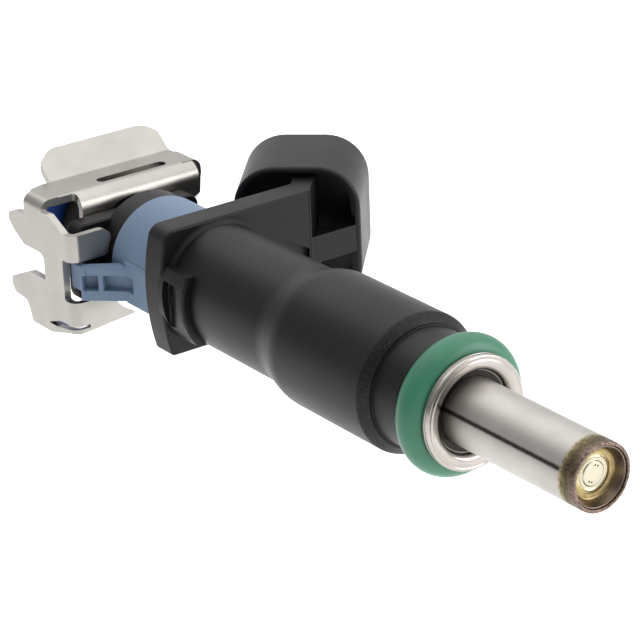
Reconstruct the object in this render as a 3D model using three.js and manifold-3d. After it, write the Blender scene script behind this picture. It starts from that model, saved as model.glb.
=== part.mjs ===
// Port fuel injector with an extended tip, in millimetres, +Z up. The injector's axis is X, its tip
// points to +X, and the connector leans away to +Y. The origin is the centre of the upper O-ring,
// where the injector hangs in its fuel rail cup.
import * as THREE from "three";
import { mergeVertices } from "three/addons/utils/BufferGeometryUtils.js";
import Module from "manifold-3d";

const wasm = await Module();
wasm.setup();

// ---- driving dimensions -------------------------------------------------------------------------
const ORING_PITCH = 66.7; // upper O-ring centre to lower O-ring centre
const TIP_REACH = 21.1; // lower O-ring centre to the end of the tip
const ORING_CORD_R = 1.7;
const FIT = 0.05; // radial or end clearance between pieces that sit in each other
const SEAM = 0.12; // clearance between faces that meet inside the moulding
const CLEAR = 0.2; // gap beside a face that the clip slides past

// Radii are built outwards from the tube, each by a wall or a step.
const TUBE_R = 3.55;
const TUBE_WALL = 0.45;
const SEAT_WALL = 0.35; // the sleeve that the lower O-ring is stretched on
const COLLAR_GAP = 0.75; // from the tube to the collar's rolled lip
const COLLAR_WIDTH = 2.45;
const INLET_WALL = 0.8;
const INLET_LIP_HEIGHT = 1.9;
const INLET_LIP = 1.3;
const SPACER_STEP = 0.1; // the rear spacer stops this far below the middle of the O-ring's cord
const REAR_NECK_WALL = 0.95;
const RING_WALL = 1.45; // light-blue index ring
const CARRIER_STEP = 0.1;
const BODY_WALL = 2.95;
const NECK_WALL = 2.7;
const SLEEVE_WALL = 0.85;

const SLEEVE_LENGTH = 17.5;
const SLEEVE_BLEND = 2.3;
const SLEEVE_CHAMFER = 0.9;
const NECK_LENGTH = 4.0;

const FLANGE_THICK = 3.3;
const FLANGE_PROUD = 0.65; // how far the flange stands above and below the body
const FLANGE_INSET = 0.35; // how far its left edge is let into the body
const FLANGE_BULGE = 1.0;
const FLANGE_SHORT = 1.05; // the flange ends this far before the middle of the connector
const BOSS_LENGTH = 4.3;
const BOSS_HALF_Z = 4.1;

const PLUG_TILT = THREE.MathUtils.degToRad(48); // the connector leans back from +Y towards -X
const PLUG_BACK = 1.1; // from the flange's rear face back to the middle of the connector
const PLUG_STANDOFF = 7.3; // from the body out to the middle of the connector
const PLUG_HALF_W = 7.1;
const PLUG_HALF_H = 8.3;
const PLUG_CORNER_R = 4.8;
const PLUG_WALL = 1.1;
const PLUG_LENGTH = 11.4;
const PLUG_BACK_POCKET = 3.2;
const PLUG_BACK_WALL = 0.6;
const PLUG_FLOOR = 1.4;
const STALK_THICK = 2.5;
const STALK_OFFSET = 0.85;
const STALK_ROOT = 4.2;
const BAR_HALF_Z = 1.6;
const BAR_THICK = 2.2;

const PIN_THICK = 0.6;
const PIN_WIDE = 0.8;
const PIN_Z = 2.6;
const PIN_OFFSET = 0.6;
const PIN_ROOT = 2.9; // how far a pin goes back from the connector's rim before it bends
const PIN_SHORT = 1.8; // how far its end stands inside the mouth
const LEAD_Z = 1.2; // the leads run to the coil closer together than the pins
const LEAD_RISE = 1.0; // height of the leads above the bobbin's core
const LEAD_STEP = 3.0;

const RING_LENGTH = 7.8;
const ARM_HIGH_Z = 0.9;
const ARM_LOW_Z = -3.1;
const ARM_THICK = 1.9;

const CARRIER_LENGTH = 4.7;
const CARRIER_PLATE = 2.3;
const CARRIER_HALF_Z = 4.6;
const CARRIER_GAP = 1.2; // inside the clip's left wall
const CARRIER_RIGHT = 0.4; // beyond the index ring's radius

const SHEET = 0.8; // thickness of the clip's spring steel
const BEND_R = 1.2; // outer radius of its bends
const CLIP_GAP = ORING_CORD_R / 2; // from the O-ring to the clip's top plate
const CLIP_DEPTH = 6.25; // the top plate, from the handle to its front bend
const CLIP_HEADROOM = 0.5; // from the rear spacer up to the top plate
const CLIP_LEFT = 4.7; // beyond the index ring's radius
const CLIP_RIGHT = 3.5;
const CLIP_DROP = 2.0; // below the carrier
const CLIP_FLOAT = 0.35; // how far the clip can lift on the injector
const HANDLE_LENGTH = 4.0;
const HANDLE_RISE = THREE.MathUtils.degToRad(40);
const HANDLE_LEFT = 4.2; // inside the clip's left side
const HANDLE_RIGHT = 0.9;
const HANDLE_CORNER = 2.8;

const NEEDLE_LIFT = 0.1;
const BALL_R = 1.5;
const BALL_SETBACK = 4.2; // from the end of the tip to the middle of the ball
const NEEDLE_R = 1.25;
const NEEDLE_BORE_R = 0.8;
const ARMATURE_LENGTH = 7.0;
const SPRING_DEPTH = 2.0; // how far the spring sits down in the armature
const CORE_BORE_R = 1.5;
const CORE_SETBACK = 8.2; // from the housing's front to the pole core's face
const CORE_COVER = 14.0; // length of tube behind that face
const PLATE_SETBACK = 1.3; // from the end of the tip to the spray plate
const PLATE_THICK = 0.35;

const HOUSING_LENGTH = 15.0;
const HOUSING_SETBACK = 1.4; // from the sleeve's front to the housing
const HOUSING_WALL = 0.6;
const HOUSING_GAP = 0.15; // around the bobbin
const BOBBIN_WALL = 0.6;
const BOBBIN_FLANGE = 0.8;
const BOBBIN_RIM = 0.25; // how far its flanges stand above the winding
const WINDING_DEPTH = 1.35;

const FAR = 40; // past every face, for the ends of cutting shapes
const AROUND = 40; // sides of the large turned pieces
const AROUND_SMALL = 24;
const AROUND_FINE = 48;

// ---- radii --------------------------------------------------------------------------------------
const tubeBoreR = TUBE_R - TUBE_WALL;
const pressedR = tubeBoreR - FIT / 2; // pieces that are pressed into the tube
const overTubeR = TUBE_R + FIT; // bore of the pieces that fit over the tube
const inletR = overTubeR + SEAT_WALL + FIT;
const overInletR = inletR + FIT;
const oringRingR = inletR + ORING_CORD_R; // axis to the middle of the cord: 14.8 mm across outside
const inletLipR = inletR + INLET_LIP_HEIGHT;
const spacerR = oringRingR - SPACER_STEP;
const rearNeckR = overInletR + REAR_NECK_WALL;
const overNeckR = rearNeckR + FIT;
const ringR = overNeckR + RING_WALL;
const carrierR = ringR - CARRIER_STEP;
const bodyR = overTubeR + BODY_WALL;
const neckR = overTubeR + NECK_WALL;
const bobbinCoreR = overTubeR + BOBBIN_WALL;
const windingR = bobbinCoreR + FIT + WINDING_DEPTH;
const bobbinR = windingR + BOBBIN_RIM;
const housingBoreR = bobbinR + HOUSING_GAP;
const housingR = housingBoreR + HOUSING_WALL;
const sleeveR = housingR + FIT + SLEEVE_WALL;

// ---- stations along the axis, from the upper O-ring forwards and from the tip back --------------
const clipRearX = ORING_CORD_R + FIT + CLIP_GAP;
const underX = clipRearX + CLIP_DEPTH; // front face of the clip's upper plate
const clipPlateX = underX - SHEET;
const spacerFrontX = clipPlateX - CLEAR;
const carrierRearX = underX + CLEAR;
const ringRearX = carrierRearX + CARRIER_LENGTH + FIT;
const flangeX = ringRearX + RING_LENGTH;
const flangeFrontX = flangeX + FLANGE_THICK;
const plugCentreX = flangeX - PLUG_BACK;
const inletX = -ORING_CORD_R - FIT - INLET_LIP;

const tipX = ORING_PITCH + TIP_REACH;
const collarRearX = ORING_PITCH + ORING_CORD_R + FIT;
const neckFrontX = ORING_PITCH - ORING_CORD_R - FIT;
const sleeveFrontX = neckFrontX - NECK_LENGTH;
const sleeveRearX = sleeveFrontX - SLEEVE_CHAMFER - SLEEVE_LENGTH + SLEEVE_BLEND;
const housingFrontX = sleeveFrontX - HOUSING_SETBACK;
const housingRearX = housingFrontX - HOUSING_LENGTH;
const coreFrontX = housingFrontX - CORE_SETBACK;
const armatureRearX = coreFrontX + NEEDLE_LIFT + 0.02;
const tubeRearX = coreFrontX - CORE_COVER;
const plateX = tipX - PLATE_SETBACK;
const ballX = tipX - BALL_SETBACK;

// ---- places across the axis ---------------------------------------------------------------------
const flangeHalfZ = bodyR + FLANGE_PROUD;
const flangeLeftY = FLANGE_INSET - bodyR;
const plugCentreY = bodyR + PLUG_STANDOFF;
const flangeReachY = plugCentreY - FLANGE_SHORT;
const clipTopZ = spacerR + CLIP_HEADROOM + SHEET;
const clipLeftY = -ringR - CLIP_LEFT;
const clipRightY = ringR + CLIP_RIGHT;
const clipLowZ = -carrierR - CLIP_DROP;
const carrierLeftY = clipLeftY + SHEET + CARRIER_GAP;
const carrierRightY = ringR + CARRIER_RIGHT;

// ---- shape helpers ------------------------------------------------------------------------------
function solidOf(geometry) {
  const bare = geometry.index ? geometry.toNonIndexed() : geometry.clone();
  bare.deleteAttribute("normal");
  bare.deleteAttribute("uv");
  const merged = mergeVertices(bare, 1e-4);
  return new wasm.Manifold(
    new wasm.Mesh({
      numProp: 3,
      vertProperties: new Float32Array(merged.attributes.position.array),
      triVerts: new Uint32Array(merged.index.array),
    }),
  );
}

function geometryOf(solid) {
  const mesh = solid.getMesh();
  const geometry = new THREE.BufferGeometry();
  geometry.setAttribute("position", new THREE.BufferAttribute(mesh.vertProperties, 3));
  geometry.setIndex(new THREE.BufferAttribute(mesh.triVerts, 1));
  return geometry;
}

// A closed outline of [x, r] points, turned about the X axis. The order of the points is free.
function turned(outline, sides = AROUND) {
  const area = outline.reduce((sum, [x, r], i) => {
    const [nextX, nextR] = outline[(i + 1) % outline.length];
    return sum + x * nextR - nextX * r;
  }, 0);
  const ordered = area > 0 ? [...outline].reverse() : [...outline];
  const onAxis = ordered.some(([, r]) => r === 0);
  let points = ordered;
  if (onAxis) {
    const start = ordered.findIndex(([, r], i) => r === 0 && ordered.at(i - 1)[1] === 0);
    points = [...ordered.slice(start), ...ordered.slice(0, start)];
  } else {
    points = [...ordered, ordered[0]];
  }
  const profile = points.map(([x, r]) => new THREE.Vector2(r, x));
  const geometry = new THREE.LatheGeometry(profile, sides);
  geometry.rotateZ(-Math.PI / 2);
  return solidOf(geometry);
}

function tube(x0, x1, inner, outer, sides = AROUND) {
  return turned([[x0, inner], [x1, inner], [x1, outer], [x0, outer]], sides);
}

function rod(x0, x1, radius, sides = AROUND) {
  return turned([[x0, 0], [x1, 0], [x1, radius], [x0, radius]], sides);
}

function box(x0, x1, y0, y1, z0, z1) {
  const geometry = new THREE.BoxGeometry(x1 - x0, y1 - y0, z1 - z0);
  geometry.translate((x0 + x1) / 2, (y0 + y1) / 2, (z0 + z1) / 2);
  return solidOf(geometry);
}

const ALONG = {
  X: new THREE.Matrix4().makeBasis(axis(0, 1, 0), axis(0, 0, 1), axis(1, 0, 0)),
  Y: new THREE.Matrix4().makeBasis(axis(0, 0, 1), axis(1, 0, 0), axis(0, 1, 0)),
  Z: new THREE.Matrix4(),
};

function axis(x, y, z) {
  return new THREE.Vector3(x, y, z);
}

// A flat shape pushed along an axis from low to high. Along X the shape is (y, z), along Y it is
// (z, x), and along Z it is (x, y). A matrix in place of the axis sets any other frame.
function pushed(shape, along, low, high, curveSegments = 8) {
  const geometry = new THREE.ExtrudeGeometry(shape, {
    depth: high - low,
    bevelEnabled: false,
    curveSegments,
  });
  geometry.translate(0, 0, low);
  geometry.applyMatrix4(ALONG[along] ?? along);
  return solidOf(geometry);
}

function polygon(points) {
  return new THREE.Shape(points.map(([a, b]) => new THREE.Vector2(a, b)));
}

function roundedRect(a0, a1, b0, b1, r) {
  const shape = new THREE.Shape();
  shape.moveTo(a0 + r, b0);
  shape.lineTo(a1 - r, b0);
  shape.absarc(a1 - r, b0 + r, r, -Math.PI / 2, 0);
  shape.lineTo(a1, b1 - r);
  shape.absarc(a1 - r, b1 - r, r, 0, Math.PI / 2);
  shape.lineTo(a0 + r, b1);
  shape.absarc(a0 + r, b1 - r, r, Math.PI / 2, Math.PI);
  shape.lineTo(a0, b0 + r);
  shape.absarc(a0 + r, b0 + r, r, Math.PI, 1.5 * Math.PI);
  return shape;
}

// The section of a bent sheet: a path of [a, b] points on the outer face, each bend rounded to
// BEND_R there, and the thickness laid to the left of the path.
function bentSheet(path, steps = 4) {
  const outer = [];
  const inner = [];
  const lay = (p, n) => {
    outer.push([p.x, p.y]);
    inner.push([p.x + n.x * SHEET, p.y + n.y * SHEET]);
  };
  const points = path.map(([a, b]) => new THREE.Vector2(a, b));
  const left = (d) => new THREE.Vector2(-d.y, d.x);
  points.forEach((p, i) => {
    const before = i > 0 ? p.clone().sub(points[i - 1]).normalize() : null;
    const after = i < points.length - 1 ? points[i + 1].clone().sub(p).normalize() : null;
    if (!before || !after) {
      lay(p, left(before ?? after));
      return;
    }
    const turn = Math.atan2(before.cross(after), before.dot(after));
    const radius = turn > 0 ? BEND_R : BEND_R - SHEET;
    const setback = radius * Math.tan(Math.abs(turn) / 2);
    const start = p.clone().addScaledVector(before, -setback);
    const side = Math.sign(turn);
    const centre = start.clone().addScaledVector(left(before), side * radius);
    for (let k = 0; k <= steps; k++) {
      const n = left(before).rotateAround(new THREE.Vector2(), (turn * k) / steps);
      lay(centre.clone().addScaledVector(n, -side * radius), n);
    }
  });
  return polygon([...outer, ...inner.reverse()]);
}

const joined = (solids) => solids.reduce((all, next) => all.add(next));

// ---- turned pieces on the axis ------------------------------------------------------------------
function torus(ringR, cordR, x) {
  const outline = [];
  const steps = 14;
  for (let k = 0; k < steps; k++) {
    const a = (2 * Math.PI * k) / steps;
    outline.push([x + cordR * Math.cos(a), ringR + cordR * Math.sin(a)]);
  }
  return turned(outline);
}

function valveTube() {
  const edge = 0.15;
  return turned([
    [tubeRearX, tubeBoreR],
    [tipX, tubeBoreR],
    [tipX, TUBE_R - edge],
    [tipX - edge, TUBE_R],
    [tubeRearX, TUBE_R],
  ]);
}

// A shallow dish: a flat floor with the spray holes, and a rim that slopes out to the tube.
function sprayPlate() {
  const floorR = 2.7;
  const rimSetback = 0.15;
  const rimThick = 0.12;
  const buttonR = 1.28;
  const button = 0.12;
  const dish = turned([
    [plateX - PLATE_THICK, 0],
    [plateX + button, 0],
    [plateX + button, buttonR - button],
    [plateX, buttonR],
    [plateX, floorR],
    [tipX - rimSetback, pressedR - rimThick],
    [tipX - rimSetback, pressedR],
    [plateX - PLATE_THICK, pressedR],
  ]);
  const holeR = 0.13;
  const holeCircleR = 0.85;
  const holes = [50, 75, 230, 255].map((degrees) => {
    const a = THREE.MathUtils.degToRad(degrees);
    const drill = new THREE.CylinderGeometry(holeR, holeR, 2, 8);
    drill.rotateZ(Math.PI / 2);
    drill.translate(plateX, holeCircleR * Math.cos(a), holeCircleR * Math.sin(a));
    return solidOf(drill);
  });
  return dish.subtract(joined(holes));
}

function valveSeat() {
  const gap = 0.02;
  const apexX = ballX + (BALL_R + gap) * Math.SQRT2;
  const coneSetback = 0.15;
  const rearX = ballX + coneSetback;
  const frontX = plateX - PLATE_THICK - gap;
  const outletR = 0.6;
  return turned(
    [
      [rearX, apexX - rearX],
      [apexX - outletR, outletR],
      [frontX, outletR],
      [frontX, pressedR],
      [rearX, pressedR],
    ],
    AROUND_FINE,
  );
}

// The disc that keeps the ball central, with four notches for the fuel.
function ballGuide() {
  const behind = 0.4;
  const ahead = 0.1;
  const notchR = 0.45;
  const notchCircleR = BALL_R + 0.3;
  const disc = tube(ballX - behind, ballX + ahead, BALL_R + FIT, pressedR, AROUND_FINE);
  const notches = [0, 1, 2, 3].map((k) => {
    const a = (k * Math.PI) / 2;
    const drill = new THREE.CylinderGeometry(notchR, notchR, 2, 10);
    drill.rotateZ(Math.PI / 2);
    drill.translate(ballX, notchCircleR * Math.cos(a), notchCircleR * Math.sin(a));
    return solidOf(drill);
  });
  return disc.subtract(joined(notches));
}

function valveBall() {
  const ball = new THREE.SphereGeometry(BALL_R, AROUND_SMALL, 14);
  ball.rotateZ(-Math.PI / 2);
  ball.translate(ballX, 0, 0);
  return solidOf(ball);
}

const WELD_GAP = 0.02; // between pieces that are welded in the real injector
const needleFrontX = ballX - Math.sqrt(BALL_R ** 2 - NEEDLE_BORE_R ** 2) - WELD_GAP;
const needleRearX = armatureRearX + ARMATURE_LENGTH - SPRING_DEPTH - 0.1;

function needleTube() {
  return tube(needleRearX, needleFrontX, NEEDLE_BORE_R, NEEDLE_R, AROUND_SMALL);
}

function armature() {
  const frontX = armatureRearX + ARMATURE_LENGTH;
  return turned([
    [armatureRearX, CORE_BORE_R],
    [armatureRearX + SPRING_DEPTH, CORE_BORE_R],
    [armatureRearX + SPRING_DEPTH, NEEDLE_BORE_R],
    [needleRearX - WELD_GAP, NEEDLE_BORE_R],
    [needleRearX - WELD_GAP, NEEDLE_R + WELD_GAP],
    [frontX, NEEDLE_R + WELD_GAP],
    [frontX, tubeBoreR - FIT],
    [armatureRearX, tubeBoreR - FIT],
  ]);
}

const coreRearX = tubeRearX + 0.6;
const adjusterFrontX = coreFrontX - 6.0;

function poleCore() {
  return tube(coreRearX, coreFrontX, CORE_BORE_R, pressedR);
}

function adjustingSleeve() {
  const length = 5.0;
  const boreR = 0.8;
  return tube(adjusterFrontX - length, adjusterFrontX, boreR, CORE_BORE_R - FIT, AROUND_SMALL);
}

class Helix extends THREE.Curve {
  constructor(startX, endX, radius, turns) {
    super();
    Object.assign(this, { startX, endX, radius, turns });
  }
  getPoint(t) {
    const a = 2 * Math.PI * this.turns * t;
    const x = this.startX + (this.endX - this.startX) * t;
    return new THREE.Vector3(x, this.radius * Math.cos(a), this.radius * Math.sin(a));
  }
}

function returnSpring() {
  const wireR = 0.2;
  const turns = 7;
  const gap = 0.06;
  const coilR = CORE_BORE_R - wireR - 0.1;
  const startX = adjusterFrontX + wireR + gap;
  const endX = armatureRearX + SPRING_DEPTH - wireR - gap;
  const section = new THREE.Shape().absarc(0, 0, wireR, 0, 2 * Math.PI);
  const geometry = new THREE.ExtrudeGeometry(section, {
    extrudePath: new Helix(startX, endX, coilR, turns),
    steps: turns * 12,
    curveSegments: 3,
  });
  return solidOf(geometry);
}

const bobbinRearX = housingRearX + 1.9;
const bobbinFrontX = housingFrontX - 2.0;

function coilBobbin() {
  return turned([
    [bobbinRearX, overTubeR],
    [bobbinFrontX, overTubeR],
    [bobbinFrontX, bobbinR],
    [bobbinFrontX - BOBBIN_FLANGE, bobbinR],
    [bobbinFrontX - BOBBIN_FLANGE, bobbinCoreR],
    [bobbinRearX + BOBBIN_FLANGE, bobbinCoreR],
    [bobbinRearX + BOBBIN_FLANGE, bobbinR],
    [bobbinRearX, bobbinR],
  ]);
}

function coilWinding() {
  const rear = bobbinRearX + BOBBIN_FLANGE + FIT;
  const front = bobbinFrontX - BOBBIN_FLANGE - FIT;
  return tube(rear, front, bobbinCoreR + FIT, windingR);
}

function magnetHousing() {
  const endWall = 1.8;
  return turned([
    [housingRearX, housingBoreR],
    [housingFrontX - endWall, housingBoreR],
    [housingFrontX - endWall, overTubeR],
    [housingFrontX, overTubeR],
    [housingFrontX, housingR],
    [housingRearX, housingR],
  ]);
}

const leadY = bobbinCoreR + LEAD_RISE;

// The washer that closes the magnet circuit behind the coil. Its slot lets the terminals through.
function fluxWasher() {
  const setback = 0.2;
  const thick = 1.5;
  const rear = housingRearX + setback;
  const ring = tube(rear, rear + thick, overTubeR, housingBoreR - FIT);
  const halfSlot = PIN_Z + 1;
  const slot = box(housingRearX, rear + 2 * thick, leadY - 0.8, housingR, -halfSlot, halfSlot);
  return ring.subtract(slot);
}

function inletTube() {
  const inner = inletR - INLET_WALL;
  const lead = 0.5;
  return turned([
    [inletX, inner],
    [tubeRearX - SEAM, inner],
    [tubeRearX - SEAM, inletR],
    [inletX + INLET_LIP, inletR],
    [inletX + INLET_LIP, inletLipR],
    [inletX + lead, inletLipR],
    [inletX, inletLipR - lead],
  ]);
}

const filterOuterR = inletR - INLET_WALL - FIT;
const FILTER_WALL = 0.35;

function filterRing() {
  const rear = inletX + 0.4;
  const length = 1.8;
  return tube(rear, rear + length, filterOuterR - FILTER_WALL, filterOuterR, AROUND_FINE);
}

function inletFilter() {
  const rear = inletX + 0.5;
  const front = rear + 8.5;
  const top = filterOuterR - FILTER_WALL - FIT;
  const taper = 0.6;
  const floorX = front - 2 * FILTER_WALL;
  return turned(
    [
      [rear, top - FILTER_WALL],
      [floorX, top - FILTER_WALL - taper],
      [floorX, 0],
      [front, 0],
      [front, top - taper],
      [rear, top],
    ],
    AROUND_FINE,
  );
}

function lowerCollar() {
  const thick = 0.95;
  const front = collarRearX + thick;
  const holeR = TUBE_R + COLLAR_GAP;
  const outer = TUBE_R + COLLAR_WIDTH;
  const recess = 0.6;
  const lip = 0.25;
  const round = 0.45;
  const flat = round * (1 - Math.SQRT1_2);
  return turned([
    [collarRearX, overTubeR],
    [front - recess, overTubeR],
    [front - recess, holeR],
    [front - lip, holeR],
    [front, holeR + lip],
    [front, outer - round],
    [front - flat, outer - flat],
    [front - round, outer],
    [collarRearX, outer],
  ]);
}

// The sleeve under the lower O-ring, which the ring is stretched on.
function oringSeat() {
  const rear = neckFrontX + FIT;
  return tube(rear, collarRearX - FIT, overTubeR, inletR - FIT);
}

function rearSpacer() {
  const edge = 0.3;
  const rear = ORING_CORD_R + FIT;
  return turned([
    [rear, overInletR],
    [spacerFrontX, overInletR],
    [spacerFrontX, spacerR - edge],
    [spacerFrontX - edge, spacerR],
    [rear + edge, spacerR],
    [rear, spacerR - edge],
  ]);
}

// ---- moulded body -------------------------------------------------------------------------------
// Puts a solid made in the plug's own frame in its place. In that frame X runs across the plug, Y
// along it towards the mouth from its back rim, and Z is up.
function plugPlaced(shape, low, high) {
  const geometry = new THREE.ExtrudeGeometry(shape, {
    depth: high - low,
    bevelEnabled: false,
    curveSegments: 6,
  });
  geometry.translate(0, 0, low);
  const across = axis(Math.cos(PLUG_TILT), Math.sin(PLUG_TILT), 0);
  const forward = axis(-Math.sin(PLUG_TILT), Math.cos(PLUG_TILT), 0);
  const frame = new THREE.Matrix4().makeBasis(axis(0, 0, 1), across, forward);
  frame.setPosition(plugCentreX, plugCentreY, 0);
  geometry.applyMatrix4(frame);
  return solidOf(geometry);
}

const plugOutline = (inset) =>
  roundedRect(
    -PLUG_HALF_H + inset,
    PLUG_HALF_H - inset,
    -PLUG_HALF_W + inset,
    PLUG_HALF_W - inset,
    PLUG_CORNER_R - inset,
  );

function plugShroud() {
  const outer = plugPlaced(plugOutline(0), 0, PLUG_LENGTH);
  const floorX = PLUG_BACK_POCKET + PLUG_FLOOR;
  const pocket = plugPlaced(plugOutline(PLUG_BACK_WALL), -1, PLUG_BACK_POCKET);
  const mouth = plugPlaced(plugOutline(PLUG_WALL), floorX, PLUG_LENGTH + 1);
  return outer.subtract(pocket).subtract(mouth);
}

// The rib that carries the terminals from the flange plate to the plug's floor.
function plugStalk() {
  const near = STALK_OFFSET - STALK_THICK / 2;
  const edge = 0.3;
  const section = roundedRect(-flangeHalfZ, flangeHalfZ, near, near + STALK_THICK, edge);
  return plugPlaced(section, -STALK_ROOT, PLUG_BACK_POCKET + edge);
}

function flangeOutline() {
  const shape = new THREE.Shape();
  const corner = 1.6;
  const low = -flangeHalfZ;
  const high = flangeHalfZ;
  const bulgeY = flangeLeftY - 2 * FLANGE_BULGE;
  shape.moveTo(flangeLeftY + 0.4, low);
  shape.lineTo(flangeReachY, low);
  shape.lineTo(flangeReachY, high);
  shape.lineTo(flangeLeftY + corner, high);
  shape.quadraticCurveTo(flangeLeftY, high, flangeLeftY, high - corner);
  shape.quadraticCurveTo(bulgeY + 0.4, 0, flangeLeftY, low + 0.4);
  shape.lineTo(flangeLeftY + 0.4, low);
  return shape;
}

function flangeBoss() {
  const block = pushed(flangeOutline(), "X", flangeFrontX - 0.5, flangeFrontX + BOSS_LENGTH);
  const innerY = -2;
  const keep = box(flangeX, tipX, -FAR, innerY, -BOSS_HALF_Z, BOSS_HALF_Z);
  const wall = 0.5;
  const front = flangeFrontX + BOSS_LENGTH - 1.3;
  const floorY = flangeLeftY;
  const pocket = box(flangeFrontX + wall, front, -FAR, floorY, 1.2 - BOSS_HALF_Z, BOSS_HALF_Z - 1.5);
  return block.intersect(keep).subtract(pocket);
}

// A slim bar, flush with the flange's front face, that ties the plug's side wall to the stalk.
function plugBar() {
  const intoWall = 0.9;
  const past = 0.7;
  const reach = plugCentreY + (PLUG_HALF_W - intoWall) * Math.sin(PLUG_TILT) + past;
  const rear = flangeFrontX - BAR_THICK;
  return box(rear, flangeFrontX, flangeReachY - 0.5, reach, -BAR_HALF_Z, BAR_HALF_Z);
}

// A terminal: along from the coil, out, sideways to its pin's place, out again, and the blade.
function terminalBody(grow, pin) {
  const halfW = PIN_WIDE / 2 + grow;
  const halfT = PIN_THICK / 2 + grow;
  const turnX = plugCentreX + PIN_OFFSET * Math.cos(PLUG_TILT) + PIN_ROOT * Math.sin(PLUG_TILT);
  const turnY = plugCentreY + PIN_OFFSET * Math.sin(PLUG_TILT) - PIN_ROOT * Math.cos(PLUG_TILT);
  const pinZ = pin * PIN_Z;
  const leadZ = pin * LEAD_Z;
  const rear = turnX - halfT;
  const coilX = housingRearX + 1.2 + grow;
  const stepY = leadY + LEAD_STEP;
  const run = box(rear, coilX, leadY - halfT, leadY + halfT, leadZ - halfW, leadZ + halfW);
  const cross = box(rear, turnX + halfT, leadY - halfT, stepY + halfT, leadZ - halfW, leadZ + halfW);
  const lowZ = Math.min(pinZ, leadZ) - halfW;
  const highZ = Math.max(pinZ, leadZ) + halfW;
  const spread = box(rear, turnX + halfT, stepY - halfT, stepY + 1 + halfT, lowZ, highZ);
  const rise = box(rear, turnX + halfT, stepY - halfT, turnY + halfT, pinZ - halfW, pinZ + halfW);
  const blade = plugPlaced(
    polygon([
      [pinZ - halfW, PIN_OFFSET - halfT],
      [pinZ + halfW, PIN_OFFSET - halfT],
      [pinZ + halfW, PIN_OFFSET + halfT],
      [pinZ - halfW, PIN_OFFSET + halfT],
    ]),
    -PIN_ROOT - grow,
    PLUG_LENGTH - PIN_SHORT + grow,
  );
  return joined([run, cross, spread, rise, blade]);
}

function overmouldBody() {
  const blendX = sleeveRearX - SLEEVE_BLEND;
  const sleeveX = sleeveFrontX - SLEEVE_CHAMFER;
  const rearX = clipPlateX - 0.1;
  const housingBore = housingR + FIT;
  const edge = 0.3;
  const fillet = 0.5;
  const core = turned([
    [rearX, overInletR],
    [tubeRearX, overInletR],
    [tubeRearX, overTubeR],
    [housingRearX - SEAM, overTubeR],
    [housingRearX - SEAM, housingBore],
    [housingFrontX + SEAM, housingBore],
    [housingFrontX + SEAM, overTubeR],
    [neckFrontX, overTubeR],
    [neckFrontX, neckR - edge],
    [neckFrontX - edge, neckR],
    [sleeveFrontX, neckR],
    [sleeveFrontX, neckR + edge],
    [sleeveX, sleeveR],
    [sleeveRearX, sleeveR],
    [(sleeveRearX + blendX) / 2, (sleeveR + bodyR) / 2],
    [blendX, bodyR],
    [flangeFrontX + fillet, bodyR],
    [flangeFrontX, bodyR + fillet],
    [flangeX, bodyR],
    [flangeX, rearNeckR],
    [rearX, rearNeckR],
  ]);
  const plate = pushed(flangeOutline(), "X", flangeX, flangeFrontX);
  const axisHole = rod(flangeX - 1, flangeFrontX + BOSS_LENGTH + 1, bodyR - HOUSING_WALL);
  const added = joined([plate, flangeBoss(), plugStalk(), plugBar()]).subtract(axisHole);
  const pins = [-1, 1].map((pin) => terminalBody(FIT, pin));
  return joined([core, added, plugShroud()]).subtract(joined(pins));
}

// ---- index ring, clip carrier and clip ----------------------------------------------------------
// The ring's arm leans outwards at 45 degrees and ends in the clip's window. Its outer face has two
// pockets between an upper and a lower rail.
function indexRing() {
  const edge = 0.2;
  const front = flangeX - FIT;
  const ring = turned([
    [ringRearX, overNeckR],
    [front, overNeckR],
    [front, ringR],
    [ringRearX + edge, ringR],
    [ringRearX, ringR - edge],
  ]);
  const slope = 1.04;
  const tipEndX = ringRearX - 0.35;
  const tipEndY = clipLeftY + 0.7;
  const faceY = -ringR - 0.15; // where the outer face meets the ring's side
  const rootX = tipEndX + (faceY - tipEndY) / slope;
  const lean = Math.hypot(1, slope);
  const thickX = (ARM_THICK * slope) / lean;
  const thickY = ARM_THICK / lean;
  const innerX = rootX + 1.5;
  const innerY = tipEndY + (innerX - tipEndX) * slope;
  const arm = pushed(
    polygon([
      [tipEndX, tipEndY],
      [innerX, innerY],
      [innerX - thickX, innerY + thickY],
      [tipEndX - 0.3, tipEndY + 1.2],
    ]),
    "Z",
    ARM_LOW_Z,
    ARM_HIGH_Z,
  );
  const gusset = pushed(
    polygon([
      [rootX - 0.2, faceY],
      [front, faceY],
      [front, faceY + 2],
      [ringRearX + 0.3, faceY + 2],
      [ringRearX + 0.3, faceY + 0.9],
    ]),
    "Z",
    ARM_LOW_Z - 0.3,
    ARM_HIGH_Z + 0.6,
  );
  const railHigh = 1.0;
  const endWall = 0.25;
  const web = 0.35;
  const depth = 1.0;
  const midX = tipEndX + (rootX - tipEndX) * 0.45;
  const faceAt = (x) => Math.min(tipEndY + (x - tipEndX) * slope, faceY);
  const pocket = (x0, x1) =>
    pushed(
      polygon([
        [x0, faceAt(x0) - 0.3],
        [x0 + 1.2, faceAt(x0) - 1.2],
        [x1 + 1.2, faceAt(x1) - 1.2],
        [x1, faceAt(x1) - 0.3],
        [x1, faceAt(x1)],
        [x1 - depth * 0.7, faceAt(x1) + depth],
        [x0 - depth * 0.5, faceAt(x0) + depth * 0.8],
        [x0, faceAt(x0)],
      ]),
      "Z",
      ARM_LOW_Z + railHigh + 0.2,
      ARM_HIGH_Z - railHigh,
    );
  const pockets = pocket(tipEndX + endWall, midX - web / 2).add(pocket(midX + web / 2, rootX + 1.2));
  const bore = rod(ringRearX - 1, flangeX + 1, overNeckR);
  return joined([ring, arm, gusset]).subtract(pockets).subtract(bore);
}

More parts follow.
